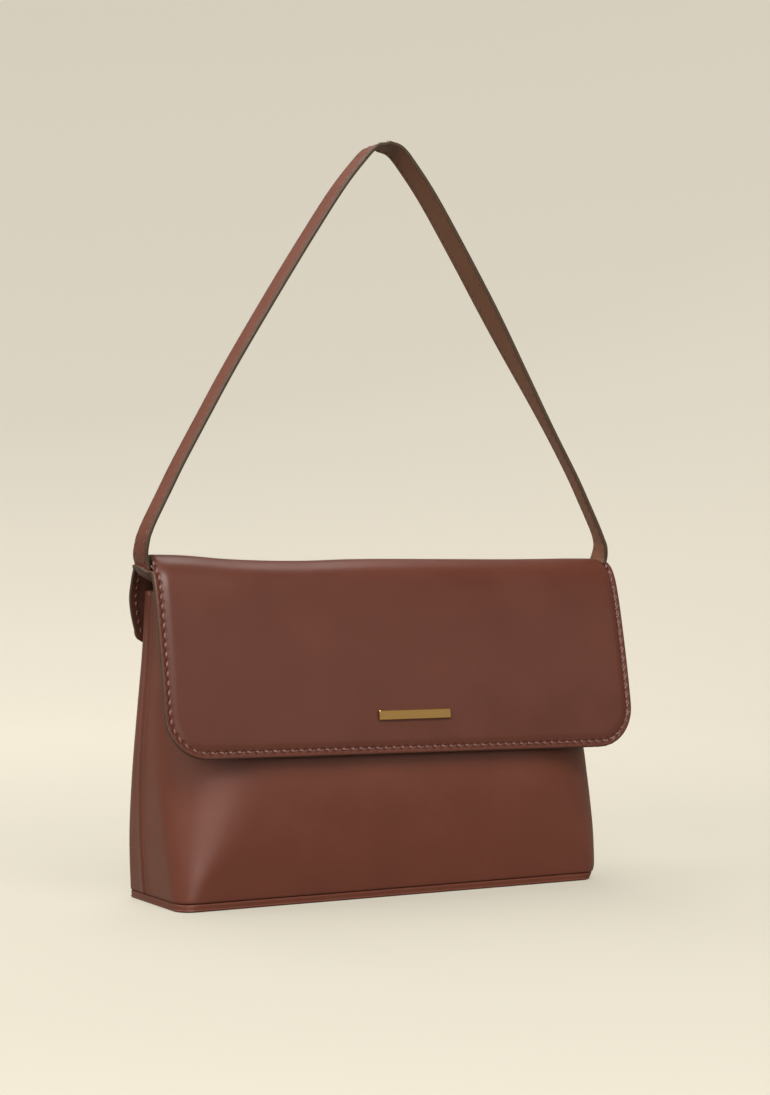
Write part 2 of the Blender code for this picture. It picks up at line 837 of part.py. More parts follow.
def build_snap(flap, flap_depth):
    """Magnetic snap: a cup with its ring magnet on the body, a plate with a stud on the flap.

    The plate is as thick as the room that the flap leaves it in front of the cup.
    """
    seat = face_matrix(-1, 0.0, SNAP_HEIGHT, CLEARANCE)
    through = LEATHER + CLEARANCE
    lower = rivet_profile(SNAP_RADIUS, through)
    cup = [
        (SNAP_RADIUS - SOCKET_WALL, SOCKET_DEPTH),
        (SNAP_RADIUS, SOCKET_DEPTH),
        *lower,
        (SHANK_BORE, lower[-1][1]),
        (SHANK_BORE, SOCKET_WALL),
        (SNAP_RADIUS - SOCKET_WALL, SOCKET_WALL),
    ]
    turned_part("snap_socket", cup, GOLD, seat, ring=True)
    bore = STUD_RADIUS + STUD_PLAY
    rim = SNAP_RADIUS - SOCKET_WALL - SNAP_SEAT
    magnet = [
        (bore, SOCKET_DEPTH),
        (rim, SOCKET_DEPTH),
        (rim, SOCKET_WALL + SNAP_SEAT),
        (bore, SOCKET_WALL + SNAP_SEAT),
    ]
    turned_part("snap_magnet", magnet, STEEL, seat, ring=True)
    washer_part(
        "snap_socket_washer",
        seat @ Matrix.Translation((0.0, 0.0, -through - SNAP_SEAT - WASHER / 2)),
    )
    shank_hole = disc_mesh("shank_hole", SHANK_RADIUS + SNAP_SEAT, 4 * OVERRUN)
    cut(
        bpy.data.objects["front_panel"],
        add_guide("socket_hole", shank_hole, seat),
    )

    distance = flap_distance_facing(seat @ Vector((0.0, 0.0, SOCKET_DEPTH)))
    facing_in = Matrix.Rotation(math.pi, 4, "X")
    stud_place = flap_matrix(distance, flap_depth + CLEARANCE) @ facing_in
    out = seat.to_3x3() @ Vector((0.0, 0.0, 1.0))
    inward = stud_place.to_3x3() @ Vector((0.0, 0.0, 1.0))
    room = (stud_place.translation - seat.translation).dot(out) - SOCKET_DEPTH
    plate = room - SNAP_GAP - SNAP_RADIUS * math.sin(out.angle(-inward))
    through = LINING + CLEARANCE
    lower = rivet_profile(SNAP_RADIUS, through)
    stud = [
        (0.0, plate + STUD_LENGTH),
        (STUD_RADIUS, plate + STUD_LENGTH),
        (STUD_RADIUS, plate),
        (SNAP_RADIUS, plate),
        *lower,
        (0.0, lower[-1][1]),
    ]
    turned_part("snap_stud", stud, GOLD, stud_place, flap_pivot)
    washer_part(
        "snap_stud_washer",
        stud_place @ Matrix.Translation((0.0, 0.0, -through - SNAP_SEAT - WASHER / 2)),
        flap_pivot,
    )
    cut(flap["flap_lining"], add_guide("stud_hole", shank_hole, stud_place))
    window = disc_mesh("snap_window", WASHER_RADIUS + SOCKET_WALL, 2 * FLAP_BOARD)
    depth = FLAP_LEATHER + CLEARANCE + FLAP_BOARD / 2
    cut(
        flap["flap_stiffener"],
        add_guide("stud_window", window, flap_matrix(distance, depth)),
    )


def strap_centre_line():
    """Points and half widths along the strap from one rounded end over the top to the other."""
    radius = STRAP_WIDTH / 2
    points = [
        Vector((STRAP_SPAN / 2 * out, PIVOT_HEIGHT + STRAP_RISE * up))
        for out, up in STRAP_PATH_SHARES
    ]
    half = [(point, radius) for point in spline_through(points, STRAP_STEPS)]
    tip = []
    for step in range(STRAP_TIP_STEPS, 0, -1):
        angle = math.pi / 2 * step / (STRAP_TIP_STEPS + 0.5)
        tip.append(
            (points[0] - Vector((0.0, radius * math.sin(angle))), radius * math.cos(angle))
        )
    half = tip + half
    other = [(Vector((-point.x, point.y)), width) for point, width in reversed(half)]
    return half + other[1:]


def strip_rows(stations, rise):
    """Rows across a strap, rise metres outside its centre line."""
    rows = []
    for i, (point, width) in enumerate(stations):
        before = stations[max(i - 1, 0)][0]
        after = stations[min(i + 1, len(stations) - 1)][0]
        along = (after - before).normalized()
        place = point + Vector((along.y, -along.x)) * rise
        rows.append(
            [
                Vector((place.x, STRAP_Y - width, place.y)),
                Vector((place.x, STRAP_Y + width, place.y)),
            ]
        )
    return rows


def build_strap():
    line = strap_centre_line()
    for name, side in (("strap_outer", 1), ("strap_inner", -1)):
        rows = strip_rows(line, side * CLEARANCE / 2)
        item = add_part(name, sheet_mesh(name, rows), STRAP_SKIN, strap_pivot)
        thicken(item, STRAP_LAYER, float(side))


def build_strap_ends():
    """The strap's sewn ends, through the slots and down inside the mouth's facing."""
    thickness = STRAP_THICKNESS
    edge_height = BODY_HEIGHT - GUSSET_DIP
    facing_inset = LEATHER + FACING_GAP + FACING
    sewn_x = SLOT_SPAN / 2
    for height in (edge_height, edge_height - STRAP_END_LENGTH):
        radius, turn_y = corner_at(-1, height, facing_inset)
        past_turn = max(turn_y - (STRAP_Y - STRAP_WIDTH / 2), 0.0)
        into_corner = radius - math.sqrt(max(radius**2 - past_turn**2, 0.0))
        wall = half_width(height, facing_inset + 3 * CLEARANCE)
        sewn_x = min(sewn_x, wall - into_corner - thickness / 2)
    over_edge = edge_height + CLEARANCE + thickness
    top = PIVOT_HEIGHT - STRAP_WIDTH / 2 - CLEARANCE - thickness / 2
    slot_height = RIDGE_HEIGHT - CROWN_DROOP
    slot_x = SLOT_SPAN / 2
    points = (
        Vector((STRAP_SPAN / 2, top)),
        Vector((slot_x, slot_height)),
        Vector((slot_x - thickness / 2, slot_height - 2 * thickness)),
        Vector(((slot_x + sewn_x) / 2, over_edge + thickness)),
        Vector((sewn_x + thickness, over_edge)),
        Vector((sewn_x, edge_height - thickness)),
        Vector((sewn_x, edge_height - STRAP_END_LENGTH)),
    )
    line = spline_through(list(points), STRAP_END_STEPS)
    for name, side in (("strap_end_left", -1), ("strap_end_right", 1)):
        stations = [
            (Vector((side * point.x, point.y)), STRAP_WIDTH / 2) for point in line
        ]
        rows = strip_rows(stations, 0.0)
        item = add_part(name, sheet_mesh(name, rows), STRAP_SKIN)
        thicken(item, thickness, 0.0)


panel_floor = build_panels()
lining_floor = build_base()
build_lining(lining_floor)
build_seam_tapes(panel_floor)
build_crown()
flap_items, flap_thickness = build_flap()
build_bar(flap_items)
build_snap(flap_items, flap_thickness)
build_strap()
build_strap_ends()
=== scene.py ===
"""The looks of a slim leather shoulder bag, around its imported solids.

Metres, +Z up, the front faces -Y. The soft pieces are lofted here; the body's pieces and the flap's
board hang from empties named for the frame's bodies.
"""

import json
import math
from bisect import bisect_left

import bmesh
import bpy
from mathutils import Matrix, Vector


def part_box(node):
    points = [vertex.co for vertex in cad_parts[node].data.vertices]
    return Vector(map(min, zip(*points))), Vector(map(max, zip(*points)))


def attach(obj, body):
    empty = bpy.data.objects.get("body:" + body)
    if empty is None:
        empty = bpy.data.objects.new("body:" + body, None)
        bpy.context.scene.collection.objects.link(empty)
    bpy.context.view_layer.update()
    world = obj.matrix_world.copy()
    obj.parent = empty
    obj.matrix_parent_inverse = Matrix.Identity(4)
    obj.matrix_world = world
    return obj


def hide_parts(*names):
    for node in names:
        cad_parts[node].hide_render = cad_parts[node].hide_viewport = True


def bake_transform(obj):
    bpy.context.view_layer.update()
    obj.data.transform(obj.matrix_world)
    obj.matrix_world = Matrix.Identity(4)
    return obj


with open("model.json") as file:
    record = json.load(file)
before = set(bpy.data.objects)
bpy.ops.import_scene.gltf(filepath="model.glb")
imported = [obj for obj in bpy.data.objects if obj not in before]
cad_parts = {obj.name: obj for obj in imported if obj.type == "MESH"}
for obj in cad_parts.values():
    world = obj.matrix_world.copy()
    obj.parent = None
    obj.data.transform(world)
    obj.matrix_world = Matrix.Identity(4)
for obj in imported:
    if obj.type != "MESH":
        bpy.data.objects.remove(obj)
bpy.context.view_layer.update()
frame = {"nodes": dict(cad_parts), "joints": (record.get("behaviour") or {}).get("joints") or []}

# The camera, fitted to the photograph's outline of the bag
IMAGE_HEIGHT = 1095
FOCAL_PIXELS = 2048.3
SENSOR = 36.0
CAMERA_AZIMUTH = math.radians(-29.3)
CAMERA_ELEVATION = math.radians(-1.21)
CAMERA_DISTANCE = 1.0873
CAMERA_TARGET = Vector((0.0066, -0.0027, 0.1798))

# The body: sizes and, at equal steps of its height, the shares of the front depth, the back
# depth, the width and the corners' radius
BASE_WIDTH = 0.252
BASE_DEPTH = 0.066
BODY_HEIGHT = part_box("front_panel")[1].z
PANEL_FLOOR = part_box("front_panel")[0].z
FRONT_CORNER = 0.034
BACK_CORNER = 0.016
CORNER_FLOOR = 0.25
GUSSET_DIP = 0.0012
FACE_BULGE = 0.001
SEAM_Y = 0.010
FRONT_SHARES = (1.000, 1.115, 1.160, 1.040, 0.940, 0.805)
BACK_SHARES = (1.000, 1.030, 1.020, 0.940, 0.715, 0.450)
WIDTH_SHARES = (0.986, 1.003, 1.006, 0.996, 0.984, 0.988)
CORNER_SHARES = (0.26, 0.56, 0.86, 0.90, 0.55, 0.27)

# The front corners are wider than they are deep up to a height, and the right one is drawn in
# where it meets the base
CORNER_STRETCH = 0.75
STRETCH_RISE = 0.045
STRETCH_TOP = 0.090
STRETCH_FADE = 0.050
RIGHT_TUCK = 0.0042
TUCK_HEIGHT = 0.0095
TUCK_POWER = 8

# The panels' columns: distances from the side seam, then steps along side, corner and face
SEAM_OFFSETS = (0.0, 0.0004, 0.0008, 0.0013, 0.0019, 0.0026, 0.0035, 0.0048)
SIDE_STEPS = 4
CORNER_STEPS = 14
FACE_STEPS = 44

# The turned edges along the side seams, and the groove between panels and base
SEAM_GAP = 0.0003
ROLL_HUMP = 0.00055
ROLL_AT = 0.0022
ROLL_WIDTH = 0.0013
ROLL_DIP = 0.0016
DIP_WIDTH = 0.0009
BASE_GROOVE = 0.0004
PANEL_GROOVE_WIDTH = 0.0005
BASE_GROOVE_WIDTH = 0.0004
BASE_EDGE = 0.0011
BASE_SINK = 0.0003
BASE_TOP_GAP = 0.0001
STRIP_HEIGHT = 0.004
STRIP_ROWS = 6
PANEL_ROWS = 52
BASE_ROWS = 6
BASE_EDGE_ROWS = 8
LINING_ROWS = 26
LINING_EDGE_ROWS = 6
FACING_ROWS = 12
POCKET_ROWS = 14
POCKET_COLUMNS = 24
TAPE_ROWS = 24
TAPE_COLUMNS = 4

# The flap and crown: the outer face's profile from the rear edge over the ridge to the front
# edge, in shares of CROWN_DEPTH behind the ridge and of FLAP_DROP below it
RIDGE_Y = -0.0125
RIDGE_HEIGHT = 0.1746
CROWN_DEPTH = 0.036
FLAP_DROP = 0.1001
PROFILE = (
    (1.060, 0.436), (0.985, 0.300), (0.865, 0.165), (0.620, 0.055), (0.300, 0.010),
    (0.000, 0.000), (-0.153, 0.005), (-0.264, 0.022), (-0.389, 0.057), (-0.486, 0.112),
    (-0.560, 0.196), (-0.640, 0.316), (-0.750, 0.506), (-0.869, 0.746), (-0.960, 1.000),
)
CROWN_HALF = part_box("flap_crown")[1].x
PROFILE_STEPS = 16

# The sheet's round corners, and how much lower the flap's edge hangs on the right
FLAP_CORNER = 0.0220
REAR_CORNER = 0.006
FLAP_TILT = 0.0013
TILT_RUN = 0.070

# The sheet's half width: distances from the rear edge, and how much narrower it is than the crown
SHEET_NARROWING = (
    (0.0, 0.0150), (0.0125, 0.0108), (0.0220, 0.0086), (0.0330, 0.0076), (0.0460, 0.0056),
    (0.0560, 0.0010), (0.0656, -0.0010), (0.0740, -0.0006), (0.0840, 0.0010), (0.0940, 0.0012),
)

# The strap's slots: the strip outside each one, its opening, which narrows towards the front,
# and its reach behind and ahead of the ridge
SLOT_STRIP = 0.0026
SLOT_OPENING = 0.0046
SLOT_NARROWEST = 0.0006
SLOT_BEHIND = 0.0091
SLOT_AHEAD = 0.0150
SLOT_TAPER_AT = 0.001
SLOT_FADE = 0.010
SHIFT_FADE = 0.012

# The ridge's sag at equal steps from left to right, and where it fades behind and ahead
CREST_SAG = (
    0.0, 0.0002, 0.0018, 0.0025, 0.0024, 0.0015, 0.0011, 0.0010, 0.0009, 0.0008, 0.0005, 0.0, 0.0
)
SAG_BEHIND = 0.030
SAG_BEHIND_RUN = 0.022
SAG_AHEAD = 0.006
SAG_AHEAD_RUN = 0.026

# Distances from the ridge, and how far the strip outside the left slot and the right has sunk
STRIP_DROOP = (
    (-0.0260, 0.0, 0.0),
    (-0.0140, 0.0028, 0.0002),
    (-0.0060, 0.0040, 0.0003),
    (-0.0016, 0.0043, 0.0003),
    (0.0037, 0.0051, 0.0004),
    (0.0082, 0.0052, 0.0005),
    (0.0110, 0.0046, 0.0005),
    (0.0138, 0.0034, 0.0004),
    (0.0166, 0.0016, 0.0002),
    (0.0190, 0.0, 0.0),
)

# The strap: its centre line in shares of half its span and of its rise
STRAP_WIDTH = 0.016
STRAP_THICKNESS = 0.0021
PIVOT_HEIGHT = frame["joints"][1]["pos_m"][2]
STRAP_Y = RIDGE_Y
STRAP_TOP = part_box("strap_outer")[1].z - STRAP_THICKNESS / 2
STRAP_HALF_SPAN = 0.1360
STRAP_PATH = (
    (1.005, 0.000), (0.996, 0.018), (0.980, 0.042), (0.954, 0.075), (0.925, 0.111),
    (0.864, 0.186), (0.762, 0.301), (0.663, 0.411), (0.554, 0.526), (0.443, 0.641),
    (0.330, 0.755), (0.206, 0.875), (0.115, 0.950), (0.055, 0.990), (0.000, 1.000),
)

# The strap where it comes out of a slot: from SLOT_X and RIDGE_HEIGHT outwards and up
SLOT_X = 0.1350
SLOT_PATH = ((-0.0006, -0.0085), (0.0010, -0.0040), (0.0022, 0.0010))
STRAP_STEPS = 8
STRAP_RIM = 0.0007
RIM_STEPS = 3
STRAP_FORWARD = 0.0022
STRAP_OUTWARD = 0.0009
TWIST_LEFT = (-1.0, 0.5)
TWIST_RIGHT = (-17.0, 4.0)
FLAT_SHARE = 0.97

# Where these start on the strap and over how much of its rise they ease in or out
SLOT_EASE = (-0.06, 0.09)
TWIST_EASE = (0.25, 0.40)
FORWARD_EASES = ((-0.055, 0.06), (0.05, 0.45))
OUTWARD_EASE = (0.15, 0.35)

# The sheets' thicknesses, and where the inner layers lie
SHELL = 0.0018
LEATHER = 0.0013
CLOTH = 0.0007
LINING_INSET = 0.0040
LINING_EDGE = 0.005
FACING_INSET = 0.0023
FACING = 0.0012
FACING_HEIGHT = 0.030
POCKET_GAP = 0.0011
POCKET_SWELL = 0.0006
POCKET_HEM = 0.006
TAPE = 0.0004
TAPE_GAP = 0.0003
TAPE_WIDTH = 0.010
BOARD_DEPTH = 0.0019
BOARD_THICKNESS = 0.0007
BOARD_START = 0.012
BOARD_MARGIN = 0.0072
LINING_THIN = 0.0029
LINING_SWELL = 0.0008
LINING_SWELL_AT = 0.004
LINING_SWELL_RUN = 0.008

# The painted edge: its bulge, its lift over the faces, and how far in the sheet is probed
PAINT_BULGE = 0.00035
PAINT_LIFT = 0.0001
PAINT_PROBE = 0.0004
PAINT_STEPS = 7
OUTLINE_STEPS = 60

# Stitches: how far in and how far apart, and each one's length, width, rise and lean
STITCH_INSET = 0.0028
STITCH_PITCH = 0.0048
STITCH_LENGTH = 0.0027
STITCH_WIDTH = 0.00095
STITCH_RISE = 0.00018
STITCH_LEAN = 0.30
THREAD_ROUND = 0.6
THREAD_ARCH = 0.22
THREAD_SINK = 0.7
STITCH_RINGS = 5
STITCH_SIDES = 6
SEAM_AHEAD = 0.0125
SEAM_BEHIND = 0.006
SEAM_TURN_AT = 0.002
INNER_STITCH_RISE = 0.0001
STRAP_STITCH_INSET = 0.0020
STRAP_STITCH_LENGTH = 0.0024
STRAP_STITCH_WIDTH = 0.00050
STRAP_STITCH_RISE = 0.0001
STRAP_STITCH_START = 0.004

# The hem: the outer face's level at the edge, the stitched valley, the rise inside it, and the
# rounding of its rim
HEM_LEVEL = -0.0003
HEM_VALLEY = 0.0005
HEM_RISE = 0.0009
HEM_SLOPE = 0.0042
RIM_DROP = 0.00045
RIM_WIDTH = 0.0012

# The sheet's columns: distances from its edge
EDGE_OFFSETS = (
    0.0, 0.0003, 0.0007, 0.0013, 0.0020, 0.0026, 0.0030, 0.0036, 0.0043, 0.0052, 0.0062, 0.0072
)
INNER_OFFSETS = (0.0086, 0.0104, 0.0128, 0.0160, 0.0200, 0.0260)
COLUMN_STEP = 0.006

# The sheet's rows: steps over the plain leather, near the slots and along them, and how far
# behind and ahead of the slots the closer rows reach
ROW_STEP = 0.0024
NEAR_STEP = 0.0012
SLOT_STEP = 0.0010
NEAR_BEHIND = 0.012
NEAR_AHEAD = 0.008


def reading(values, share):
    """A smooth reading between equally spaced values, at a share of their whole run."""
    place = min(max(share, 0.0), 1.0) * (len(values) - 1)
    step = min(int(place), len(values) - 2)
    t = place - step
    start, end = values[step], values[step + 1]
    before = values[step - 1] if step else start * 2 - end
    after = values[step + 2] if step + 2 < len(values) else end * 2 - start
    return (
        start * 2
        + (end - before) * t
        + (before * 2 - start * 5 + end * 4 - after) * t**2
        + (start * 3 - before - end * 3 + after) * t**3
    ) / 2


def eased(value, start, run):
    """A soft step from 0 to 1 while value goes from start over a run."""
    share = min(max((value - start) / run, 0.0), 1.0)
    return share * share * (3 - 2 * share)


def span_at(places, value):
    """The index of the span between rising places in which a value lies."""
    return min(max(bisect_left(places, value) - 1, 0), len(places) - 2)


def running_lengths(points):
    """How far along the line through the points each one lies."""
    lengths = [0.0]
    for start, end in zip(points, points[1:]):
        lengths.append(lengths[-1] + (end - start).length)
    return lengths


def bump(distance, width):
    """A bell of height 1 at no distance."""
    return math.exp(-((distance / width) ** 2))


# Mesh helpers


def grid_mesh(name, rows, closed=False, skip=None):
    """A sheet between rows of points; closed joins the ends of each row, skip leaves faces out."""
    mesh = bpy.data.meshes.new(name)
    count = len(rows[0])
    points = [point for row in rows for point in row]
    faces = []
    for r in range(len(rows) - 1):
        for c in range(count if closed else count - 1):
            if skip and skip(r, c):
                continue
            n = (c + 1) % count
            low, high = r * count, (r + 1) * count
            faces.append((low + c, low + n, high + n, high + c))
    mesh.from_pydata(points, [], faces)
    mesh.shade_smooth()
    return mesh


def add_object(name, data):
    item = bpy.data.objects.new(name, data)
    bpy.context.scene.collection.objects.link(item)
    return item


def add_piece(name, mesh, material=None):
    item = add_object(name, mesh)
    if material is not None:
        mesh.materials.append(material)
    return item


def thicken(item, thickness, offset=-1.0):
    """Gives a sheet its thickness for good, so that no modifier is left on it.

    It also stores where each point lies at rest, so that grain doesn't slide when a piece bends.
    """
    solid = item.modifiers.new("thickness", "SOLIDIFY")
    solid.thickness = thickness
    solid.offset = offset
    graph = bpy.context.evaluated_depsgraph_get()
    mesh = bpy.data.meshes.new_from_object(item.evaluated_get(graph))
    item.modifiers.clear()
    item.data = mesh
    keep_rest(item)


def keep_rest(item):
    mesh = item.data
    rest = mesh.attributes.new("rest", "FLOAT_VECTOR", "POINT")
    for value, vertex in zip(rest.data, mesh.vertices):
        value.vector = vertex.co


def close_floor(mesh, count):
    """Fills the ring of the first points with one face, and turns every face outwards."""
    work = bmesh.new()
    work.from_mesh(mesh)
    work.verts.ensure_lookup_table()
    work.faces.new([work.verts[i] for i in reversed(range(count))])
    bmesh.ops.recalc_face_normals(work, faces=work.faces[:])
    work.to_mesh(mesh)
    work.free()


# Body outline


def half_width(height, inset=0.0):
    return BASE_WIDTH / 2 * reading(WIDTH_SHARES, height / BODY_HEIGHT) - inset


def face_y(side, x, height, inset=0.0):
    """The depth of the front (side -1) or back (side 1) face at x and a height."""
    shares = FRONT_SHARES if side < 0 else BACK_SHARES
    share = height / BODY_HEIGHT
    depth = BASE_DEPTH / 2 * reading(shares, share) - inset
    bulge = FACE_BULGE * math.sin(math.pi * min(share, 1.0))
    return side * (depth + bulge * (1 - (x / half_width(height)) ** 2))


def seam_y(height):
    return SEAM_Y * reading(BACK_SHARES, height / BODY_HEIGHT)


def half_outline(side, height, inset, seam_gap=0.0):
    """Half of the outline at a height: points, outward normals and distances from the seam."""
    width = half_width(height, inset)
    corner = FRONT_CORNER if side < 0 else BACK_CORNER
    full = corner * reading(CORNER_SHARES, height / BODY_HEIGHT)
    radius = max(full - inset, full * CORNER_FLOOR)
    stretch = eased(height, 0.0, STRETCH_RISE) * (1 - eased(height, STRETCH_TOP, STRETCH_FADE))
    wide = 1 + (CORNER_STRETCH * stretch if side < 0 else 0.0)
    inner = width - radius * wide
    turn = face_y(side, half_width(height) - full * wide, height) - side * (inset + radius)
    seam = seam_y(height) + side * seam_gap / 2
    reach = abs(turn - seam)
    last = SEAM_OFFSETS[-1]
    steps = [last + (reach - last) * (step + 1) / SIDE_STEPS for step in range(SIDE_STEPS)]
    left = [
        (Vector((-width, seam + side * offset, height)), Vector((-1, 0, 0)), offset)
        for offset in (*SEAM_OFFSETS, *steps)
    ]
    for step in range(1, CORNER_STEPS):
        angle = math.pi / 2 * step / CORNER_STEPS
        across, out = math.cos(angle), math.sin(angle)
        normal = Vector((-across / wide, side * out, 0)).normalized()
        x = -width + radius * wide * (1 - across)
        left.append((Vector((x, turn + side * radius * out, height)), normal, reach))
    front = Vector((0, side, 0))
    middle = []
    for step in range(FACE_STEPS + 1):
        x = -inner + 2 * inner * step / FACE_STEPS
        middle.append((Vector((x, face_y(side, x, height, inset), height)), front, reach))
    right = [
        (Vector((-p.x, p.y, p.z)), Vector((-n.x, n.y, n.z)), d) for p, n, d in reversed(left)
    ]
    tuck = RIGHT_TUCK * max(0.0, 1 - height / TUCK_HEIGHT) ** 2
    for point, normal, seam in right + middle:
        if tuck and point.x > 0:
            point.x -= tuck * (point.x / width) ** TUCK_POWER
    return left + middle + right


def full_outline(height, inset):
    """The closed outline at a height, with the same three values for each point."""
    back = half_outline(1, height, inset)
    return half_outline(-1, height, inset) + list(reversed(back))[1:-1]


def points_of(outline):
    return [point for point, normal, seam in outline]


def mouth_height(x, height):
    """The mouth's edge at x, where height is its height on the faces."""
    corner = FRONT_CORNER * CORNER_SHARES[-1]
    share = eased(abs(x) - half_width(BODY_HEIGHT), -corner, corner)
    return height - GUSSET_DIP * share


def heights_between(floor, top, count, edge=0.0, edge_steps=0):
    """Heights from floor to top, with extra steps in a strip along the floor."""
    low = [floor + edge * step / edge_steps for step in range(edge_steps)] if edge_steps else []
    start = floor + edge
    return low + [start + (top - start) * step / count for step in range(count + 1)]


def raised(outline, height, floor, top):
    """One outline at a height, lowered at the sides so that the top row follows the mouth."""
    share = (height - floor) / (top - floor)
    lowered = []
    for point, normal, seam in outline(height):
        dip = (top - mouth_height(point.x, top)) * share
        lowered.append((point - Vector((0, 0, dip)), normal, seam))
    return lowered


# Flap and crown outline


def profile_curve():
    """The outer face's profile as close points, with their distances from the rear edge."""
    knots = [
        Vector((RIDGE_Y + back * CROWN_DEPTH, RIDGE_HEIGHT - down * FLAP_DROP))
        for back, down in PROFILE
    ]
    steps = PROFILE_STEPS * (len(knots) - 1)
    curve = [reading(knots, step / steps) for step in range(steps + 1)]
    return curve, running_lengths(curve)


CURVE, LENGTHS = profile_curve()
FLAP_END = LENGTHS[-1]
RIDGE_AT = LENGTHS[PROFILE_STEPS * PROFILE.index((0.000, 0.000))]


def profile_at(distance):
    """The point of the profile at a distance from the rear edge, and the outward direction."""
    step = span_at(LENGTHS, distance)
    start, end = CURVE[step], CURVE[step + 1]
    along = (end - start).normalized()
    before = (start - CURVE[step - 1]).normalized() if step else along
    after = (CURVE[step + 2] - end).normalized() if step < len(CURVE) - 2 else along
    share = (distance - LENGTHS[step]) / (LENGTHS[step + 1] - LENGTHS[step])
    slope = (before + along) * (1 - share) + (along + after) * share
    slope.normalize()
    return start + along * (distance - LENGTHS[step]), Vector((slope.y, -slope.x))


def sheet_half_width(distance):
    """Half the width of flap and crown at a distance from the rear edge, before the corners."""
    last = SHEET_NARROWING[-1]
    if distance >= last[0]:
        return CROWN_HALF - last[1]
    step = span_at([place for place, narrowing in SHEET_NARROWING], distance)
    (start, first), (end, second) = SHEET_NARROWING[step : step + 2]
    before = SHEET_NARROWING[max(step - 1, 0)]
    after = SHEET_NARROWING[min(step + 2, len(SHEET_NARROWING) - 1)]
    t = (distance - start) / (end - start)
    slope_in = (second - before[1]) / (end - before[0]) * (end - start)
    slope_out = (after[1] - first) / (after[0] - start) * (end - start)
    rise = second - first
    narrowing = first + slope_in * t + (3 * rise - 2 * slope_in - slope_out) * t**2
    narrowing += (slope_in + slope_out - 2 * rise) * t**3
    return CROWN_HALF - narrowing


def strip_droop(side, distance):
    """How far the strip outside a slot has sunk, at a distance from the rear edge."""
    past = distance - RIDGE_AT
    step = span_at([row[0] for row in STRIP_DROOP], past)
    start, end = STRIP_DROOP[step : step + 2]
    column = 1 if side < 0 else 2
    share = eased(past, start[0], end[0] - start[0])
    return start[column] + (end[column] - start[column]) * share


def droop_at(x, distance):
    """How far the leather sinks: softly along the crest, and more outside the slots."""
    half = sheet_half_width(distance)
    offset = half - abs(x)
    opening = SLOT_OPENING - slot_narrowing(distance)
    across = eased(SLOT_STRIP + opening, offset, opening)
    past = distance - RIDGE_AT
    near_crest = eased(past, -SAG_BEHIND, SAG_BEHIND_RUN)
    near_crest *= 1 - eased(past, SAG_AHEAD, SAG_AHEAD_RUN)
    sag = reading(CREST_SAG, (x / half + 1) / 2) * near_crest
    return sag + strip_droop(x, distance) * across


def rounded(x, distance):
    """Moves a point of the square-cornered sheet onto the round-cornered one.

    Gives x, the distance along the profile, the distance from the edge, and a run along it.
    """
    width = sheet_half_width(distance)
    side = 1.0 if x >= 0 else -1.0
    from_side = width - abs(x)
    ends = (
        (distance, REAR_CORNER, -1.0, 0.0),
        (FLAP_END - distance, FLAP_CORNER, 1.0, FLAP_END),
    )
    edge = min(from_side, distance, FLAP_END - distance)
    along = distance
    for from_end, radius, direction, end in ends:
        if from_end < radius and from_side < radius:
            across, down = radius - from_side, radius - from_end
            far = max(across, down)
            length = math.hypot(across, down)
            if length > 0:
                across, down = across * far / length, down * far / length
            angle = math.atan2(down, across)
            edge = radius - far
            along = end - direction * radius
            along += direction * (radius - STITCH_INSET) * angle
            width = sheet_half_width(end - direction * radius)
            return side * (width - radius + across), end - direction * (radius - down), edge, along
        if from_end < radius and from_end < from_side:
            turn = (radius - STITCH_INSET) * math.pi / 2
            along = end - direction * radius + direction * (turn + from_side - radius)
    return x, distance, edge, along


def puff(edge):
    """The outer face's rise over the solid, at a distance from the sheet's edge."""
    rise = HEM_RISE * eased(edge, STITCH_INSET, HEM_SLOPE)
    valley = HEM_VALLEY * min(1.0, edge / STITCH_INSET)
    rounding = RIM_DROP * max(0.0, 1 - edge / RIM_WIDTH) ** 2
    return HEM_LEVEL + rise - valley - rounding


def sheet_point(x, distance, height):
    """A point height above the solid's outer face, and the outward direction there."""
    point, outward = profile_at(distance)
    place = point + outward * height
    tilt = FLAP_TILT * x / CROWN_HALF * eased(distance - FLAP_END, -TILT_RUN, TILT_RUN)
    down = droop_at(x, distance) + tilt
    return Vector((x, place.x, place.y - down)), Vector((0.0, *outward))


def sheet_columns(half):
    """Distances from one edge to the middle, close together near the edge."""
    offsets = list(EDGE_OFFSETS + INNER_OFFSETS)
    inner = half - offsets[-1]
    count = max(1, round(inner / COLUMN_STEP))
    return offsets + [offsets[-1] + inner * (i + 1) / count for i in range(count)]


def sheet_rows_at():
    """Distances along the profile of the sheet's rows, close near both ends and at the slots."""
    near = list(EDGE_OFFSETS + INNER_OFFSETS[:4])
    slot_start, slot_end = RIDGE_AT - SLOT_BEHIND, RIDGE_AT + SLOT_AHEAD
    spans = (
        (near[-1], slot_start - NEAR_BEHIND, ROW_STEP),
        (slot_start - NEAR_BEHIND, slot_start, NEAR_STEP),
        (slot_start, slot_end, SLOT_STEP),
        (slot_end, slot_end + NEAR_AHEAD, NEAR_STEP),
        (slot_end + NEAR_AHEAD, FLAP_END - near[-1], ROW_STEP),
    )
    rows = list(near)
    for start, end, step in spans:
        count = max(1, round((end - start) / step))
        rows += [start + (end - start) * (i + 1) / count for i in range(count)]
    return rows + [FLAP_END - offset for offset in reversed(near[:-1])]


def slot_narrowing(distance):
    """How far the slot's inner edge has moved outwards, where the slot runs out to the front."""
    share = eased(distance - RIDGE_AT, SLOT_TAPER_AT, SLOT_AHEAD - SLOT_TAPER_AT)
    return (SLOT_OPENING - SLOT_NARROWEST) * share


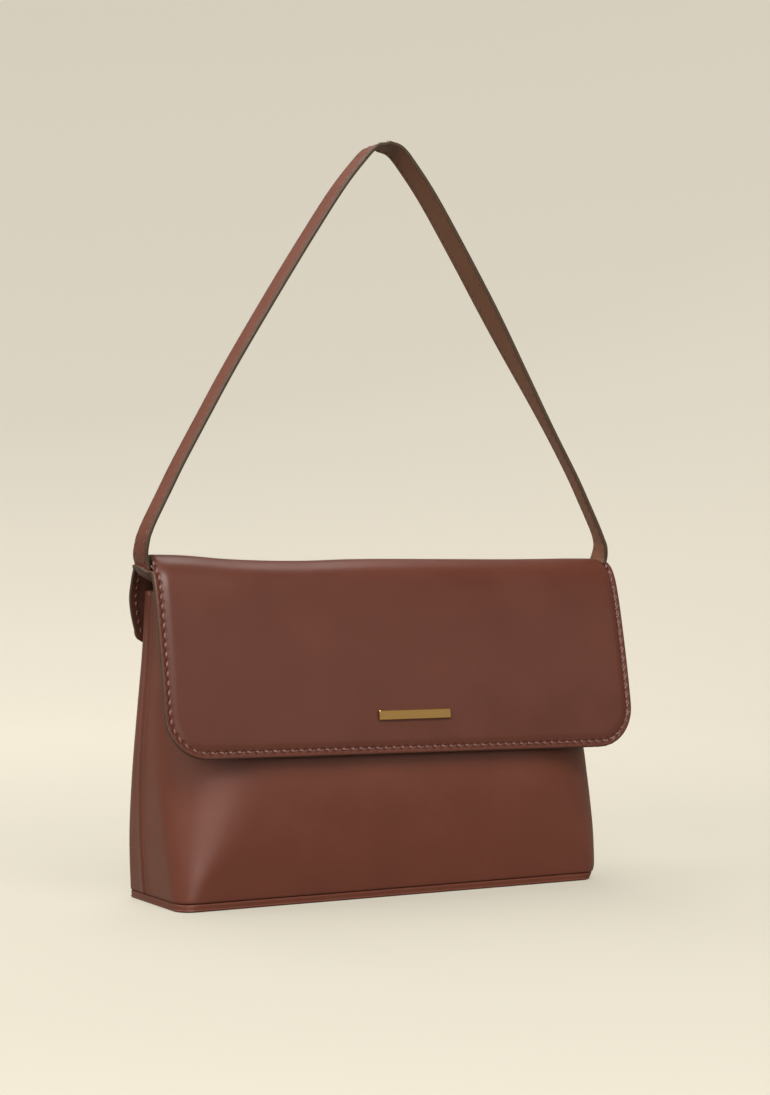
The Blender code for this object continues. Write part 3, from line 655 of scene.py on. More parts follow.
def row_offsets(offsets, distance):
    """The columns' distances from the edge in one row, moved so that they follow the slot."""
    if not RIDGE_AT - SLOT_BEHIND <= distance <= RIDGE_AT + SLOT_AHEAD + SLOT_FADE:
        return offsets
    inner = SLOT_STRIP + SLOT_OPENING
    fade = 1 - eased(distance - RIDGE_AT, SLOT_AHEAD, SLOT_FADE)
    moved = []
    for offset in offsets:
        shift = slot_narrowing(distance) * fade
        if offset <= SLOT_STRIP:
            shift = 0.0
        elif offset < inner:
            shift *= (offset - SLOT_STRIP) / SLOT_OPENING
        else:
            shift *= max(0.0, 1 - (offset - inner) / SHIFT_FADE)
        moved.append(offset - shift)
    return moved


def in_slot(distance, column, count):
    """Whether the face past this row and column lies in one of the strap's slots."""
    if not RIDGE_AT - SLOT_BEHIND < distance < RIDGE_AT + SLOT_AHEAD:
        return False
    near = EDGE_OFFSETS.index(SLOT_STRIP)
    return near <= min(column, count - 2 - column) < len(EDGE_OFFSETS) - 1


def build_sheet(name, height_at, material, start=0.0, end=FLAP_END):
    """The flap and crown as one sheet, at a height above the solid given by its edge distance."""
    distances = [d for d in sheet_rows_at() if start <= d <= end]
    offsets = sheet_columns(CROWN_HALF)
    rows, seams = [], []
    for distance in distances:
        width = sheet_half_width(distance)
        columns = []
        for offset in row_offsets(offsets, distance):
            inside = offset > INNER_OFFSETS[-1]
            columns.append(offset * width / CROWN_HALF - width if inside else offset - width)
        columns[-1] = 0.0
        columns += [-x for x in reversed(columns[:-1])]
        row = []
        for x in columns:
            at_x, at, edge, along = rounded(x, distance)
            row.append(sheet_point(at_x, at, height_at(edge))[0])
            seams.append((along, edge, 0.0))
        rows.append(row)
    count = len(rows[0])

    def skip(row, column):
        return in_slot((distances[row] + distances[row + 1]) / 2, column, count)

    mesh = grid_mesh(name, rows, skip=skip)
    mesh.flip_normals()
    seam = mesh.attributes.new("seam", "FLOAT_VECTOR", "POINT")
    for value, triple in zip(seam.data, seams):
        value.vector = triple
    return add_piece(name, mesh, material)


def bend_with_flap(item):
    """Bakes the piece's placement into its mesh."""
    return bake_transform(item)


# Materials


def new_material(name):
    material = bpy.data.materials.new(name)
    material.use_nodes = True
    tree = material.node_tree
    return material, tree, tree.nodes["Principled BSDF"]


def fill(tree, node, inputs):
    """Sets a node's inputs to numbers and colours, or joins them to other nodes' outputs."""
    for key, value in inputs.items():
        if isinstance(value, bpy.types.NodeSocket):
            tree.links.new(value, node.inputs[key])
        else:
            node.inputs[key].default_value = value


def add_node(tree, kind, inputs, **settings):
    node = tree.nodes.new("ShaderNode" + kind)
    for key, value in settings.items():
        setattr(node, key, value)
    fill(tree, node, inputs)
    return node


def math_node(tree, operation, *values):
    return add_node(tree, "Math", dict(enumerate(values)), operation=operation).outputs[0]


def rest_place(tree):
    return add_node(tree, "Attribute", {}, attribute_name="rest").outputs["Vector"]


def object_place(tree):
    return add_node(tree, "TexCoord", {}).outputs["Object"]


def noise(tree, place, scale, detail=3.0, roughness=0.5):
    inputs = {"Vector": place, "Scale": scale, "Detail": detail, "Roughness": roughness}
    return add_node(tree, "TexNoise", inputs).outputs["Fac"]


def ramp(tree, value, low, high, to_low, to_high):
    inputs = {"From Min": low, "From Max": high, "To Min": to_low, "To Max": to_high}
    return add_node(tree, "MapRange", {"Value": value, **inputs}).outputs["Result"]


def blend_colours(tree, factor, dark, light):
    """A mix of two colours, each of them three numbers or a node's output."""
    inputs = {"Factor": factor}
    for key, colour in (("A", dark), ("B", light)):
        inputs[key] = (*colour, 1.0) if isinstance(colour, tuple) else colour
    return add_node(tree, "Mix", inputs, data_type="RGBA").outputs["Result"]


def relief(tree, height, strength, distance, normal=None):
    """The normal of a surface with fine bumps, on top of coarser ones if a normal is given."""
    inputs = {"Strength": strength, "Distance": distance, "Height": height}
    if normal is not None:
        inputs["Normal"] = normal
    return add_node(tree, "Bump", inputs).outputs["Normal"]


def stitch_phase():
    """Where along the flap's seam a stitch lies."""
    turn = (FLAP_CORNER - STITCH_INSET) * math.pi / 2
    middle = sheet_half_width(FLAP_END) - FLAP_CORNER
    return (FLAP_END - FLAP_CORNER + turn + middle) % STITCH_PITCH


# The middle part of a noise's values, which colours and roughness are spread over
NOISE_RANGE = (0.3, 0.7)

# The puckers' slant, place inside the stitches and width, and the depth of each relief
PUCKER_SHARE = 0.60
PUCKER_INSET = 0.0006
PUCKER_WIDTH = 0.0011
PUCKER_DEPTH = 0.00050
GRAIN_DEPTH = 0.00003
WEAVE_DEPTH = 0.00008
PAINT_DEPTH = 0.00008

# How much rougher the metal is along its brush marks
METAL_MARKS = 0.03


def pucker_height(tree):
    """A groove that runs zigzag along the seam, one turn to each stitch."""
    seam = add_node(tree, "Attribute", {}, attribute_name="seam").outputs["Vector"]
    parts = add_node(tree, "SeparateXYZ", {0: seam}).outputs
    run = math_node(tree, "SUBTRACT", parts["X"], stitch_phase())
    teeth = math_node(tree, "PINGPONG", run, STITCH_PITCH / 2)
    teeth = math_node(tree, "MULTIPLY", teeth, PUCKER_SHARE)
    inside = math_node(tree, "SUBTRACT", parts["Y"], STITCH_INSET + PUCKER_INSET)
    away = math_node(tree, "ABSOLUTE", math_node(tree, "ADD", inside, teeth))
    return ramp(tree, away, 0.0, PUCKER_WIDTH, 0.0, 1.0)


def leather_material(name, dark, light, roughness, pucker=False):
    """Smooth dyed leather: fine pores, faint creases, uneven dye and, on request, seam puckers."""
    material, tree, shader = new_material(name)
    place = rest_place(tree)
    mottle = ramp(tree, noise(tree, place, 28.0, 5.0, 0.6), *NOISE_RANGE, 0.0, 1.0)
    wear = noise(tree, place, 90.0, 4.0, 0.6)
    creases = noise(tree, place, 380.0, 4.0, 0.65)
    inputs = {"Vector": place, "Scale": 1500.0, "Smoothness": 0.6}
    pores = add_node(tree, "TexVoronoi", inputs, feature="SMOOTH_F1").outputs["Distance"]
    grain = math_node(tree, "ADD", math_node(tree, "MULTIPLY", pores, 0.6), creases)
    normal = relief(tree, grain, 0.35, GRAIN_DEPTH)
    if pucker:
        normal = relief(tree, pucker_height(tree), 1.0, PUCKER_DEPTH, normal)
    inputs = {
        "Base Color": blend_colours(tree, mottle, dark, light),
        "Roughness": ramp(tree, wear, *NOISE_RANGE, roughness - 0.04, roughness + 0.05),
        "IOR": 1.48,
        "Normal": normal,
    }
    fill(tree, shader, inputs)
    return material


def cloth_material(name, dark, light):
    """Plain woven lining: crossed threads and a soft sheen."""
    material, tree, shader = new_material(name)
    inputs = {"Vector": rest_place(tree), "Scale": 350.0, "Distortion": 0.4}
    waves = [
        add_node(tree, "TexWave", inputs, bands_direction=axis).outputs["Fac"] for axis in "XYZ"
    ]
    weave = math_node(tree, "MULTIPLY", math_node(tree, "ADD", waves[0], waves[1]), waves[2])
    inputs = {
        "Base Color": blend_colours(tree, ramp(tree, weave, 0.0, 1.6, 0.0, 1.0), dark, light),
        "Roughness": 0.85,
        "Sheen Weight": 0.25,
        "Normal": relief(tree, weave, 0.5, WEAVE_DEPTH),
    }
    fill(tree, shader, inputs)
    return material


def uneven_material(name, colour, darkest, flecks, roughness, sheen=0.0, depth=0.0, at=rest_place):
    """A colour that darkens unevenly down to a share of it, for edge paint, thread and board."""
    material, tree, shader = new_material(name)
    uneven = noise(tree, at(tree), *flecks)
    darker = tuple(value * darkest for value in colour)
    inputs = {
        "Base Color": blend_colours(tree, uneven, darker, colour),
        "Roughness": roughness,
        "Sheen Weight": sheen,
    }
    if depth:
        inputs["Normal"] = relief(tree, uneven, 0.4, depth)
    fill(tree, shader, inputs)
    return material


def metal_material(name, colour, roughness):
    """Plated metal with faint brush marks along its length."""
    material, tree, shader = new_material(name)
    inputs = {"Vector": object_place(tree), "Scale": (25.0, 1500.0, 1500.0)}
    lines = noise(tree, add_node(tree, "Mapping", inputs).outputs["Vector"], 1.0)
    inputs = {
        "Base Color": (*colour, 1.0),
        "Metallic": 1.0,
        "Roughness": ramp(
            tree, lines, *NOISE_RANGE, roughness - METAL_MARKS / 2, roughness + METAL_MARKS
        ),
    }
    fill(tree, shader, inputs)
    return material


# The body's leather is the flap's leather painted lighter. This painted light makes up for the
# shade that the flap casts on the panels below it, and for the panels' downward tilt.
LEATHERS = (
    ("body_leather_painted_lighter", (0.152, 0.0445, 0.0262), (0.177, 0.0535, 0.0320), 0.37),
    ("flap_skin", (0.115, 0.0333, 0.0200), (0.136, 0.0404, 0.0250), 0.37, True),
    ("strap_skin", (0.150, 0.047, 0.027), (0.172, 0.057, 0.034), 0.42),
    ("strap_inside", (0.220, 0.098, 0.053), (0.248, 0.114, 0.063), 0.50),
    ("inner_skin", (0.130, 0.046, 0.030), (0.150, 0.054, 0.036), 0.50),
)
BODY_LEATHER_PAINTED_LIGHTER, FLAP_SKIN, STRAP_SKIN, STRAP_INSIDE, INNER_SKIN = (
    leather_material(*values) for values in LEATHERS
)
PAINT = (0.085, 0.052, 0.030)
FLECKS = (2600.0, 2.0)
LINING_CLOTH = cloth_material("lining_weave", (0.050, 0.026, 0.020), (0.085, 0.045, 0.035))
EDGE_PAINT = uneven_material("edge_paint", PAINT, 0.7, (420.0, 3.0), 0.42, depth=PAINT_DEPTH)
THREAD = uneven_material("thread", (0.340, 0.158, 0.128), 0.6, FLECKS, 0.6, sheen=0.3)
THREAD_DARK = uneven_material("thread_dark", (0.270, 0.120, 0.095), 0.6, FLECKS, 0.6, sheen=0.3)
GOLD = metal_material("gold", (0.86, 0.54, 0.20), 0.22)
STEEL = metal_material("steel", (0.56, 0.54, 0.50), 0.30)
FIBRES = (700.0, 5.0, 0.7)
BOARD = uneven_material("board", (0.320, 0.280, 0.220), 0.75, FIBRES, 0.9, at=object_place)


# Body pieces


def rolled(distance):
    """How far a turned edge stands out: a soft ridge, then a dip into the seam."""
    return ROLL_HUMP * bump(distance - ROLL_AT, ROLL_WIDTH) - ROLL_DIP * bump(distance, DIP_WIDTH)


def add_body_piece(name, mesh, material, thickness, node):
    """A sheet of the body, in the place of one solid."""
    piece = add_piece(name, mesh, material)
    thicken(piece, thickness)
    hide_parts(node)
    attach(piece, "bag_body")


def build_panels():
    heights = heights_between(PANEL_FLOOR, BODY_HEIGHT, PANEL_ROWS, STRIP_HEIGHT, STRIP_ROWS)
    for name, side in (("front_panel", -1), ("back_panel", 1)):
        def outline(height, side=side):
            return half_outline(side, height, 0.0, SEAM_GAP)

        rows = []
        for height in heights:
            row = []
            for point, normal, seam in raised(outline, height, PANEL_FLOOR, BODY_HEIGHT):
                out = rolled(seam) if seam < SEAM_OFFSETS[-1] * 2 else 0.0
                out -= BASE_GROOVE * bump(height - PANEL_FLOOR, PANEL_GROOVE_WIDTH)
                row.append(point + normal * out)
            rows.append(row if side < 0 else list(reversed(row)))
        mesh = grid_mesh(name, rows)
        add_body_piece("leather_" + name, mesh, BODY_LEATHER_PAINTED_LIGHTER, SHELL, name)


def floor_edge(floor, inset, radius, steps):
    """Rows of points round the edge between a floor and its walls."""
    rows = []
    for step in range(steps):
        angle = math.pi / 2 * step / steps
        height = floor + radius * (1 - math.cos(angle))
        rows.append(points_of(full_outline(height, inset + radius * (1 - math.sin(angle)))))
    return rows


def build_base():
    top = PANEL_FLOOR - BASE_TOP_GAP
    rows = floor_edge(0.0, 0.0, BASE_EDGE, BASE_EDGE_ROWS)
    for height in heights_between(BASE_EDGE, top, BASE_ROWS):
        out = -BASE_SINK - BASE_GROOVE * bump(top - height, BASE_GROOVE_WIDTH)
        rows.append([p + n * out for p, n, d in full_outline(height, 0.0)])
    mesh = grid_mesh("base", rows, closed=True)
    close_floor(mesh, len(rows[0]))
    add_body_piece("leather_base", mesh, BODY_LEATHER_PAINTED_LIGHTER, SHELL, "base_panel")


def wall_rows(floor, top, inset, count):
    """Rows of points round the inside of the body, up to the mouth's edge."""
    def wall(height):
        return full_outline(height, inset)

    heights = heights_between(floor, top, count)
    return [points_of(raised(wall, height, floor, top)) for height in heights]


def build_lining():
    floor, top = (corner.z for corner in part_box("lining"))
    rows = floor_edge(floor, LINING_INSET, LINING_EDGE, LINING_EDGE_ROWS)
    rows += wall_rows(floor + LINING_EDGE, top, LINING_INSET, LINING_ROWS)
    mesh = grid_mesh("lining", rows, closed=True)
    close_floor(mesh, len(rows[0]))
    add_body_piece("cloth_lining", mesh, LINING_CLOTH, CLOTH, "lining")


def build_facing():
    rows = wall_rows(BODY_HEIGHT - FACING_HEIGHT, BODY_HEIGHT, FACING_INSET, FACING_ROWS)
    mesh = grid_mesh("facing", rows, closed=True)
    add_body_piece("leather_facing", mesh, BODY_LEATHER_PAINTED_LIGHTER, FACING, "mouth_facing")


def build_pocket():
    low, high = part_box("slip_pocket")
    rows = []
    for height in heights_between(low.z, high.z, POCKET_ROWS):
        swell = POCKET_SWELL * bump(high.z - height, POCKET_HEM)
        row = []
        for column in range(POCKET_COLUMNS + 1):
            x = high.x - (high.x - low.x) * column / POCKET_COLUMNS
            y = face_y(1, x, height, LINING_INSET + POCKET_GAP) - swell
            row.append(Vector((x, y, height)))
        rows.append(row)
    mesh = grid_mesh("pocket", rows)
    add_body_piece("cloth_pocket", mesh, LINING_CLOTH, CLOTH, "slip_pocket")


def build_tapes():
    for name, side in (("seam_tape_left", -1), ("seam_tape_right", 1)):
        low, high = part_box(name)
        rows = []
        for height in heights_between(low.z, high.z, TAPE_ROWS):
            x = side * half_width(height, SHELL + TAPE_GAP)
            start = seam_y(height) - side * TAPE_WIDTH / 2
            steps = [side * TAPE_WIDTH * c / TAPE_COLUMNS for c in range(TAPE_COLUMNS + 1)]
            rows.append([Vector((x, start + step, height)) for step in steps])
        mesh = grid_mesh(name, rows)
        add_body_piece("cloth_" + name, mesh, LINING_CLOTH, TAPE, name)


# Flap and crown pieces


def lining_depth(edge):
    """The lining's inner face below the solid's outer face: thinner towards the edge."""
    return -(LINING_THIN + LINING_SWELL * eased(edge, LINING_SWELL_AT, LINING_SWELL_RUN))


def build_flap():
    leather = build_sheet("leather_flap", puff, FLAP_SKIN)
    thicken(leather, LEATHER)
    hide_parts("flap_crown", "flap_leather")
    bend_with_flap(leather)

    lining = build_sheet("leather_flap_lining", lining_depth, INNER_SKIN)
    thicken(lining, CLOTH, 1.0)
    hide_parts("flap_crown_lining", "flap_lining")
    bend_with_flap(lining)

    def board_height(edge):
        return -BOARD_DEPTH

    start, end = RIDGE_AT + SLOT_AHEAD + BOARD_START, FLAP_END - BOARD_MARGIN
    board = build_sheet("flap_board", board_height, BOARD, start, end)
    thicken(board, BOARD_THICKNESS)
    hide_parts("flap_stiffener")
    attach(board, "flap")


def outline_loop():
    """The sheet's outline as (x, distance), from the left end of the rear edge and all round."""
    distances = sheet_rows_at()
    front, rear = sheet_half_width(FLAP_END), sheet_half_width(0.0)
    shares = [step / OUTLINE_STEPS for step in range(1, OUTLINE_STEPS)]
    loop = [(-sheet_half_width(d), d) for d in distances]
    loop += [(-front + 2 * front * share, FLAP_END) for share in shares]
    loop += [(sheet_half_width(d), d) for d in reversed(distances)]
    loop += [(rear - 2 * rear * share, 0.0) for share in shares]
    return [rounded(x, distance)[:2] for x, distance in loop]


def slot_loop(side):
    """The outline of one slot as (x, distance)."""
    start, end = RIDGE_AT - SLOT_BEHIND, RIDGE_AT + SLOT_AHEAD
    outer, inner = [], []
    for d in sheet_rows_at():
        if start <= d <= end:
            strip_edge = sheet_half_width(d) - SLOT_STRIP
            outer.append((side * strip_edge, d))
            inner.append((side * (strip_edge - SLOT_OPENING + slot_narrowing(d)), d))
    return outer + list(reversed(inner))


def edge_band(name, loop, hole=False):
    """A rounded dark band along a closed outline, over leather, board and lining."""
    middle = sum((Vector(place) for place in loop), Vector((0.0, 0.0))) / len(loop)
    edge = EDGE_OFFSETS[3] if hole else 0.0
    top, low = puff(edge) + PAINT_LIFT, lining_depth(edge) + PAINT_LIFT
    rows = []
    for i, (x, distance) in enumerate(loop):
        before, after = Vector(loop[i - 1]), Vector(loop[(i + 1) % len(loop)])
        along = (after - before).normalized()
        out = Vector((along.y, -along.x))
        if (out.dot(Vector((x, distance)) - middle) < 0) != hole:
            out = -out
        point, normal = sheet_point(x, distance, 0.0)
        inside = x - out.x * PAINT_PROBE, max(distance - out.y * PAINT_PROBE, 0.0)
        away = point - sheet_point(*inside, 0.0)[0]
        away = (away - normal * away.dot(normal)).normalized()
        row = []
        for step in range(PAINT_STEPS + 1):
            angle = math.pi * step / PAINT_STEPS
            height = (top + low) / 2 + (top - low) / 2 * math.cos(angle)
            out_by = PAINT_BULGE * math.sin(angle) - PAINT_LIFT
            row.append(point + normal * height + away * out_by)
        rows.append(row)
    rows.append(rows[0])
    piece = add_piece(name, grid_mesh(name, rows), EDGE_PAINT)
    keep_rest(piece)
    bend_with_flap(piece)


def stitch_mesh(name, frames, length, width):
    """Small threads, each a drawn-out ball, at places given by (point, along, outward)."""
    points, faces = [], []
    for point, along, outward in frames:
        across = along.cross(outward).normalized()
        lean = (along + across * STITCH_LEAN).normalized()
        across = lean.cross(outward).normalized()
        first = len(points)
        for ring in range(STITCH_RINGS + 1):
            turn = math.pi * ring / STITCH_RINGS
            radius = width / 2 * math.sin(turn) ** THREAD_ROUND
            place = point + lean * (length / 2 * math.cos(turn))
            place += outward * (width * THREAD_ARCH * (math.sin(turn) - THREAD_SINK))
            for step in range(STITCH_SIDES):
                angle = 2 * math.pi * step / STITCH_SIDES
                spot = place + across * radius * math.cos(angle)
                points.append(spot + outward * radius * math.sin(angle))
        for ring in range(STITCH_RINGS):
            low = first + ring * STITCH_SIDES
            high = low + STITCH_SIDES
            for step in range(STITCH_SIDES):
                n = (step + 1) % STITCH_SIDES
                faces.append((low + step, low + n, high + n, high + step))
    mesh = bpy.data.meshes.new(name)
    mesh.from_pydata(points, [], faces)
    mesh.shade_smooth()
    return mesh


def seam_offset(distance):
    """The seam's distance from the sheet's edge; beside a slot it follows the slot's inner edge."""
    past = eased(abs(distance - RIDGE_AT), SEAM_TURN_AT, SLOT_AHEAD - SEAM_TURN_AT)
    return STITCH_INSET + (SLOT_STRIP + SLOT_OPENING - SLOT_NARROWEST) * (1 - past)


def seam_line(start, end, radius):
    """Places every stitch pitch along the seam from one side round an end to the other side."""
    direction = 1.0 if end > start else -1.0
    side_run = abs(end - start) - radius
    arc = radius - STITCH_INSET
    turn = arc * math.pi / 2
    middle = 2 * (sheet_half_width(end) - radius)
    total = 2 * side_run + 2 * turn + middle
    count = int(total / STITCH_PITCH)
    places = []
    for index in range(count + 1):
        run = total / 2 + (index - count / 2) * STITCH_PITCH
        side = -1.0
        if run > total / 2:
            run, side = total - run, 1.0
        if run < side_run:
            distance = start + direction * run
            x = sheet_half_width(distance) - seam_offset(distance)
        elif run < side_run + turn:
            angle = (run - side_run) / arc
            distance = end - direction * radius
            x = sheet_half_width(distance) - radius + arc * math.cos(angle)
            distance += direction * arc * math.sin(angle)
        else:
            x = total / 2 - run
            distance = end - direction * STITCH_INSET
        places.append((side * x, distance))
    return places


def build_flap_stitches():
    frames = []
    lines = (
        seam_line(RIDGE_AT + SEAM_AHEAD, FLAP_END, FLAP_CORNER),
        seam_line(RIDGE_AT - SLOT_BEHIND - SEAM_BEHIND, 0.0, REAR_CORNER),
    )
    outer_face = puff(STITCH_INSET) + STITCH_RISE
    inner_face = lining_depth(STITCH_INSET) - INNER_STITCH_RISE
    for places in lines:
        for height, facing in ((outer_face, 1), (inner_face, -1)):
            spots = [sheet_point(x, d, height) for x, d in places]
            for i, (point, normal) in enumerate(spots):
                before = spots[max(i - 1, 0)][0]
                after = spots[min(i + 1, len(spots) - 1)][0]
                frames.append((point, (after - before).normalized(), normal * facing))
    mesh = stitch_mesh("flap_stitches", frames, STITCH_LENGTH, STITCH_WIDTH)
    piece = add_piece("flap_stitches", mesh, THREAD)
    keep_rest(piece)
    bend_with_flap(piece)


# Strap


def strap_line():
    """The strap's centre line on its right half from its sewn end to the top, as (x, z)."""
    top = [
        Vector((STRAP_HALF_SPAN * out, PIVOT_HEIGHT + (STRAP_TOP - PIVOT_HEIGHT) * up))
        for out, up in STRAP_PATH
    ]
    low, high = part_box("strap_end_right")
    edge = BODY_HEIGHT - GUSSET_DIP
    sewn_x = low.x + STRAP_THICKNESS / 2
    end = [
        Vector((sewn_x, low.z)),
        Vector((sewn_x, edge - STRAP_THICKNESS)),
        Vector((sewn_x + STRAP_THICKNESS, edge + STRAP_THICKNESS)),
        Vector(((sewn_x + SLOT_X) / 2, edge + 2 * STRAP_THICKNESS)),
    ]
    end += [Vector((SLOT_X + out, RIDGE_HEIGHT + up)) for out, up in SLOT_PATH]
    return end + top


def strap_section():
    """The strap's outline across its run: flat faces and rounded edges."""
    section = []
    for across, out in ((1, 1), (-1, 1), (-1, -1), (1, -1)):
        for step in range(RIM_STEPS + 1):
            angle = math.pi / 2 * step / RIM_STEPS
            turns = math.cos(angle), math.sin(angle)
            a, b = turns if across * out > 0 else reversed(turns)
            x = STRAP_WIDTH / 2 - STRAP_RIM + STRAP_RIM * a
            y = STRAP_THICKNESS / 2 - STRAP_RIM + STRAP_RIM * b
            section.append((across * x, out * y))
    return section


def strap_twist(side, rise):
    """Degrees by which the strap is turned about its run; the right half is twisted."""
    low, high = TWIST_RIGHT if side > 0 else TWIST_LEFT
    return (low + (high - low) * eased(rise, *TWIST_EASE)) * eased(rise, *SLOT_EASE)


def strap_place(side, rise, point):
    """A point of the centre line in space, moved to the front and outwards near the bag."""
    low, high = (eased(rise, *values) for values in FORWARD_EASES)
    forward = STRAP_FORWARD * (1 - high) * low
    outward = STRAP_OUTWARD * (1 - eased(rise, *OUTWARD_EASE)) if side > 0 else 0.0
    return Vector((point.x + outward * eased(rise, *SLOT_EASE), STRAP_Y - forward, point.y))


def build_strap():
    knots = strap_line()
    steps = STRAP_STEPS * (len(knots) - 1)
    half = [reading(knots, step / steps) for step in range(steps + 1)]
    line = half + [Vector((-p.x, p.y)) for p in reversed(half[:-1])]
    section = strap_section()
    rows = []
    for i, point in enumerate(line):
        before, after = line[max(i - 1, 0)], line[min(i + 1, len(line) - 1)]
        along = (after - before).normalized()
        out = Vector((along.y, 0.0, -along.x))
        across = Vector((0.0, 1.0, 0.0))
        side = 1.0 if point.x >= 0 else -1.0
        rise = (point.y - PIVOT_HEIGHT) / (STRAP_TOP - PIVOT_HEIGHT)
        angle = side * math.radians(strap_twist(side, rise))
        turn = Matrix.Rotation(angle, 3, Vector((along.x, 0.0, along.y)))
        place = strap_place(side, rise, point)
        rows.append([place + turn @ (across * a + out * b) for a, b in section])
    mesh = grid_mesh("strap", rows, closed=True)
    for material in (STRAP_SKIN, EDGE_PAINT, STRAP_INSIDE):
        mesh.materials.append(material)
    flat = STRAP_THICKNESS / 2 * FLAT_SHARE
    for index, face in enumerate(mesh.polygons):
        column = index % len(section)
        heights = section[column][1], section[(column + 1) % len(section)][1]
        face.material_index = 0 if min(heights) > flat else 2 if max(heights) < -flat else 1
    piece = add_piece("leather_strap", mesh)
    keep_rest(piece)
    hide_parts("strap_outer", "strap_inner", "strap_end_left", "strap_end_right")
    bend_with_strap(piece)
    build_strap_stitches(rows, section)


def bend_with_strap(item):
    """Bakes the piece's placement into its mesh."""
    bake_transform(item)


def build_strap_stitches(rows, section):
    """A line of stitches near each edge, on both faces of the strap."""
    frames = []
    centres = [sum(row, Vector()) / len(row) for row in rows]
    lengths = running_lengths(centres)
    indices = range(len(section))
    corners = [
        max(indices, key=lambda i, a=across, o=out: (o * section[i][1], a * section[i][0]))
        for across, out in ((-1, 1), (1, 1), (-1, -1), (1, -1))
    ]
    count = int(lengths[-1] / STITCH_PITCH)
    for index in range(1, count):
        run = index * lengths[-1] / count
        step = span_at(lengths, run)
        if centres[step].z < RIDGE_HEIGHT - STRAP_STITCH_START:
            continue
        share = (run - lengths[step]) / (lengths[step + 1] - lengths[step])
        along = (centres[step + 1] - centres[step]).normalized()
        place = [rows[step][c].lerp(rows[step + 1][c], share) for c in corners]
        centre = centres[step].lerp(centres[step + 1], share)
        for first, second in (place[:2], place[2:]):
            outward = ((first + second) / 2 - centre).normalized()
            for near, far in ((first, second), (second, first)):
                spot = near.lerp(far, STRAP_STITCH_INSET / STRAP_WIDTH)
                frames.append((spot + outward * STRAP_STITCH_RISE, along, outward))
    mesh = stitch_mesh("strap_stitches", frames, STRAP_STITCH_LENGTH, STRAP_STITCH_WIDTH)
    piece = add_piece("strap_stitches", mesh, THREAD_DARK)
    keep_rest(piece)
    bend_with_strap(piece)


# Hardware


BEVEL_WIDTH = 0.0011
BEVEL_STEPS = 3


def build_hardware():
    for material, names in (
        (GOLD, ("metal_bar", "snap_socket", "snap_stud")),
        (STEEL, ("snap_magnet", "snap_socket_washer", "snap_stud_washer", "metal_bar_washer")),
        (BOARD, ("base_board",)),
    ):
        for name in names:
            node = frame["nodes"][name]
            node.data.materials.clear()
            node.data.materials.append(material)
            if material == GOLD:
                rim = node.modifiers.new("rim", "BEVEL")
                rim.width = BEVEL_WIDTH
                rim.segments = BEVEL_STEPS
                rim.limit_method = "ANGLE"


# Stage, camera and lights


def aim(item, place, target):
    item.location = place
    item.rotation_euler = (Vector(place) - Vector(target)).to_track_quat("Z", "Y").to_euler()


def view_direction(azimuth, elevation):
    flat = math.cos(elevation)
    return Vector((math.sin(azimuth) * flat, -math.cos(azimuth) * flat, math.sin(elevation)))


def build_camera():
    data = bpy.data.cameras.new("camera")
    data.sensor_width = SENSOR
    data.lens = FOCAL_PIXELS / IMAGE_HEIGHT * SENSOR
    camera = add_object("camera", data)
    away = view_direction(CAMERA_AZIMUTH, CAMERA_ELEVATION) * CAMERA_DISTANCE
    aim(camera, CAMERA_TARGET + away, CAMERA_TARGET)
    bpy.context.scene.camera = camera


LIGHT_TARGET = Vector((0.0, 0.0, 0.12))


def add_softbox(name, azimuth, elevation, distance, size, power, colour, unseen_in):
    data = bpy.data.lights.new(name, "AREA")
    data.shape = "RECTANGLE"
    data.size, data.size_y = size
    data.energy = power
    data.color = colour
    light = add_object(name, data)
    away = view_direction(math.radians(azimuth), math.radians(elevation)) * distance
    aim(light, LIGHT_TARGET + away, LIGHT_TARGET)
    light.visible_camera = False
    light.visible_glossy = unseen_in != "glossy"
    light.visible_diffuse = unseen_in != "diffuse"


# The stage's shape, and its floor's and wall's colours to the camera
STAGE_RADIUS = 2.6
STAGE_CURVE = 1.0
STAGE_HEIGHT = 3.2
STAGE_SIDES = 64
CURVE_STEPS = 12
SEEN_FLOOR = (0.706, 0.667, 0.555)
SEEN_WALL = (0.925, 0.861, 0.718)
SEEN_GLOW = 0.60
SEEN_RISE = (0.35, 1.70)
GLOSSY_SHARE = 0.18

# The stage's colour to the rays that light the bag: at shares of a distance, shares of a tint
FLOOR_TINT = (0.60, 0.56, 0.47)
UNSEEN_REACH = 3.0
UNSEEN_TINTS = ((0.0, 0.20), (0.15, 0.18), (0.40, 0.10), (0.95, 0.14))


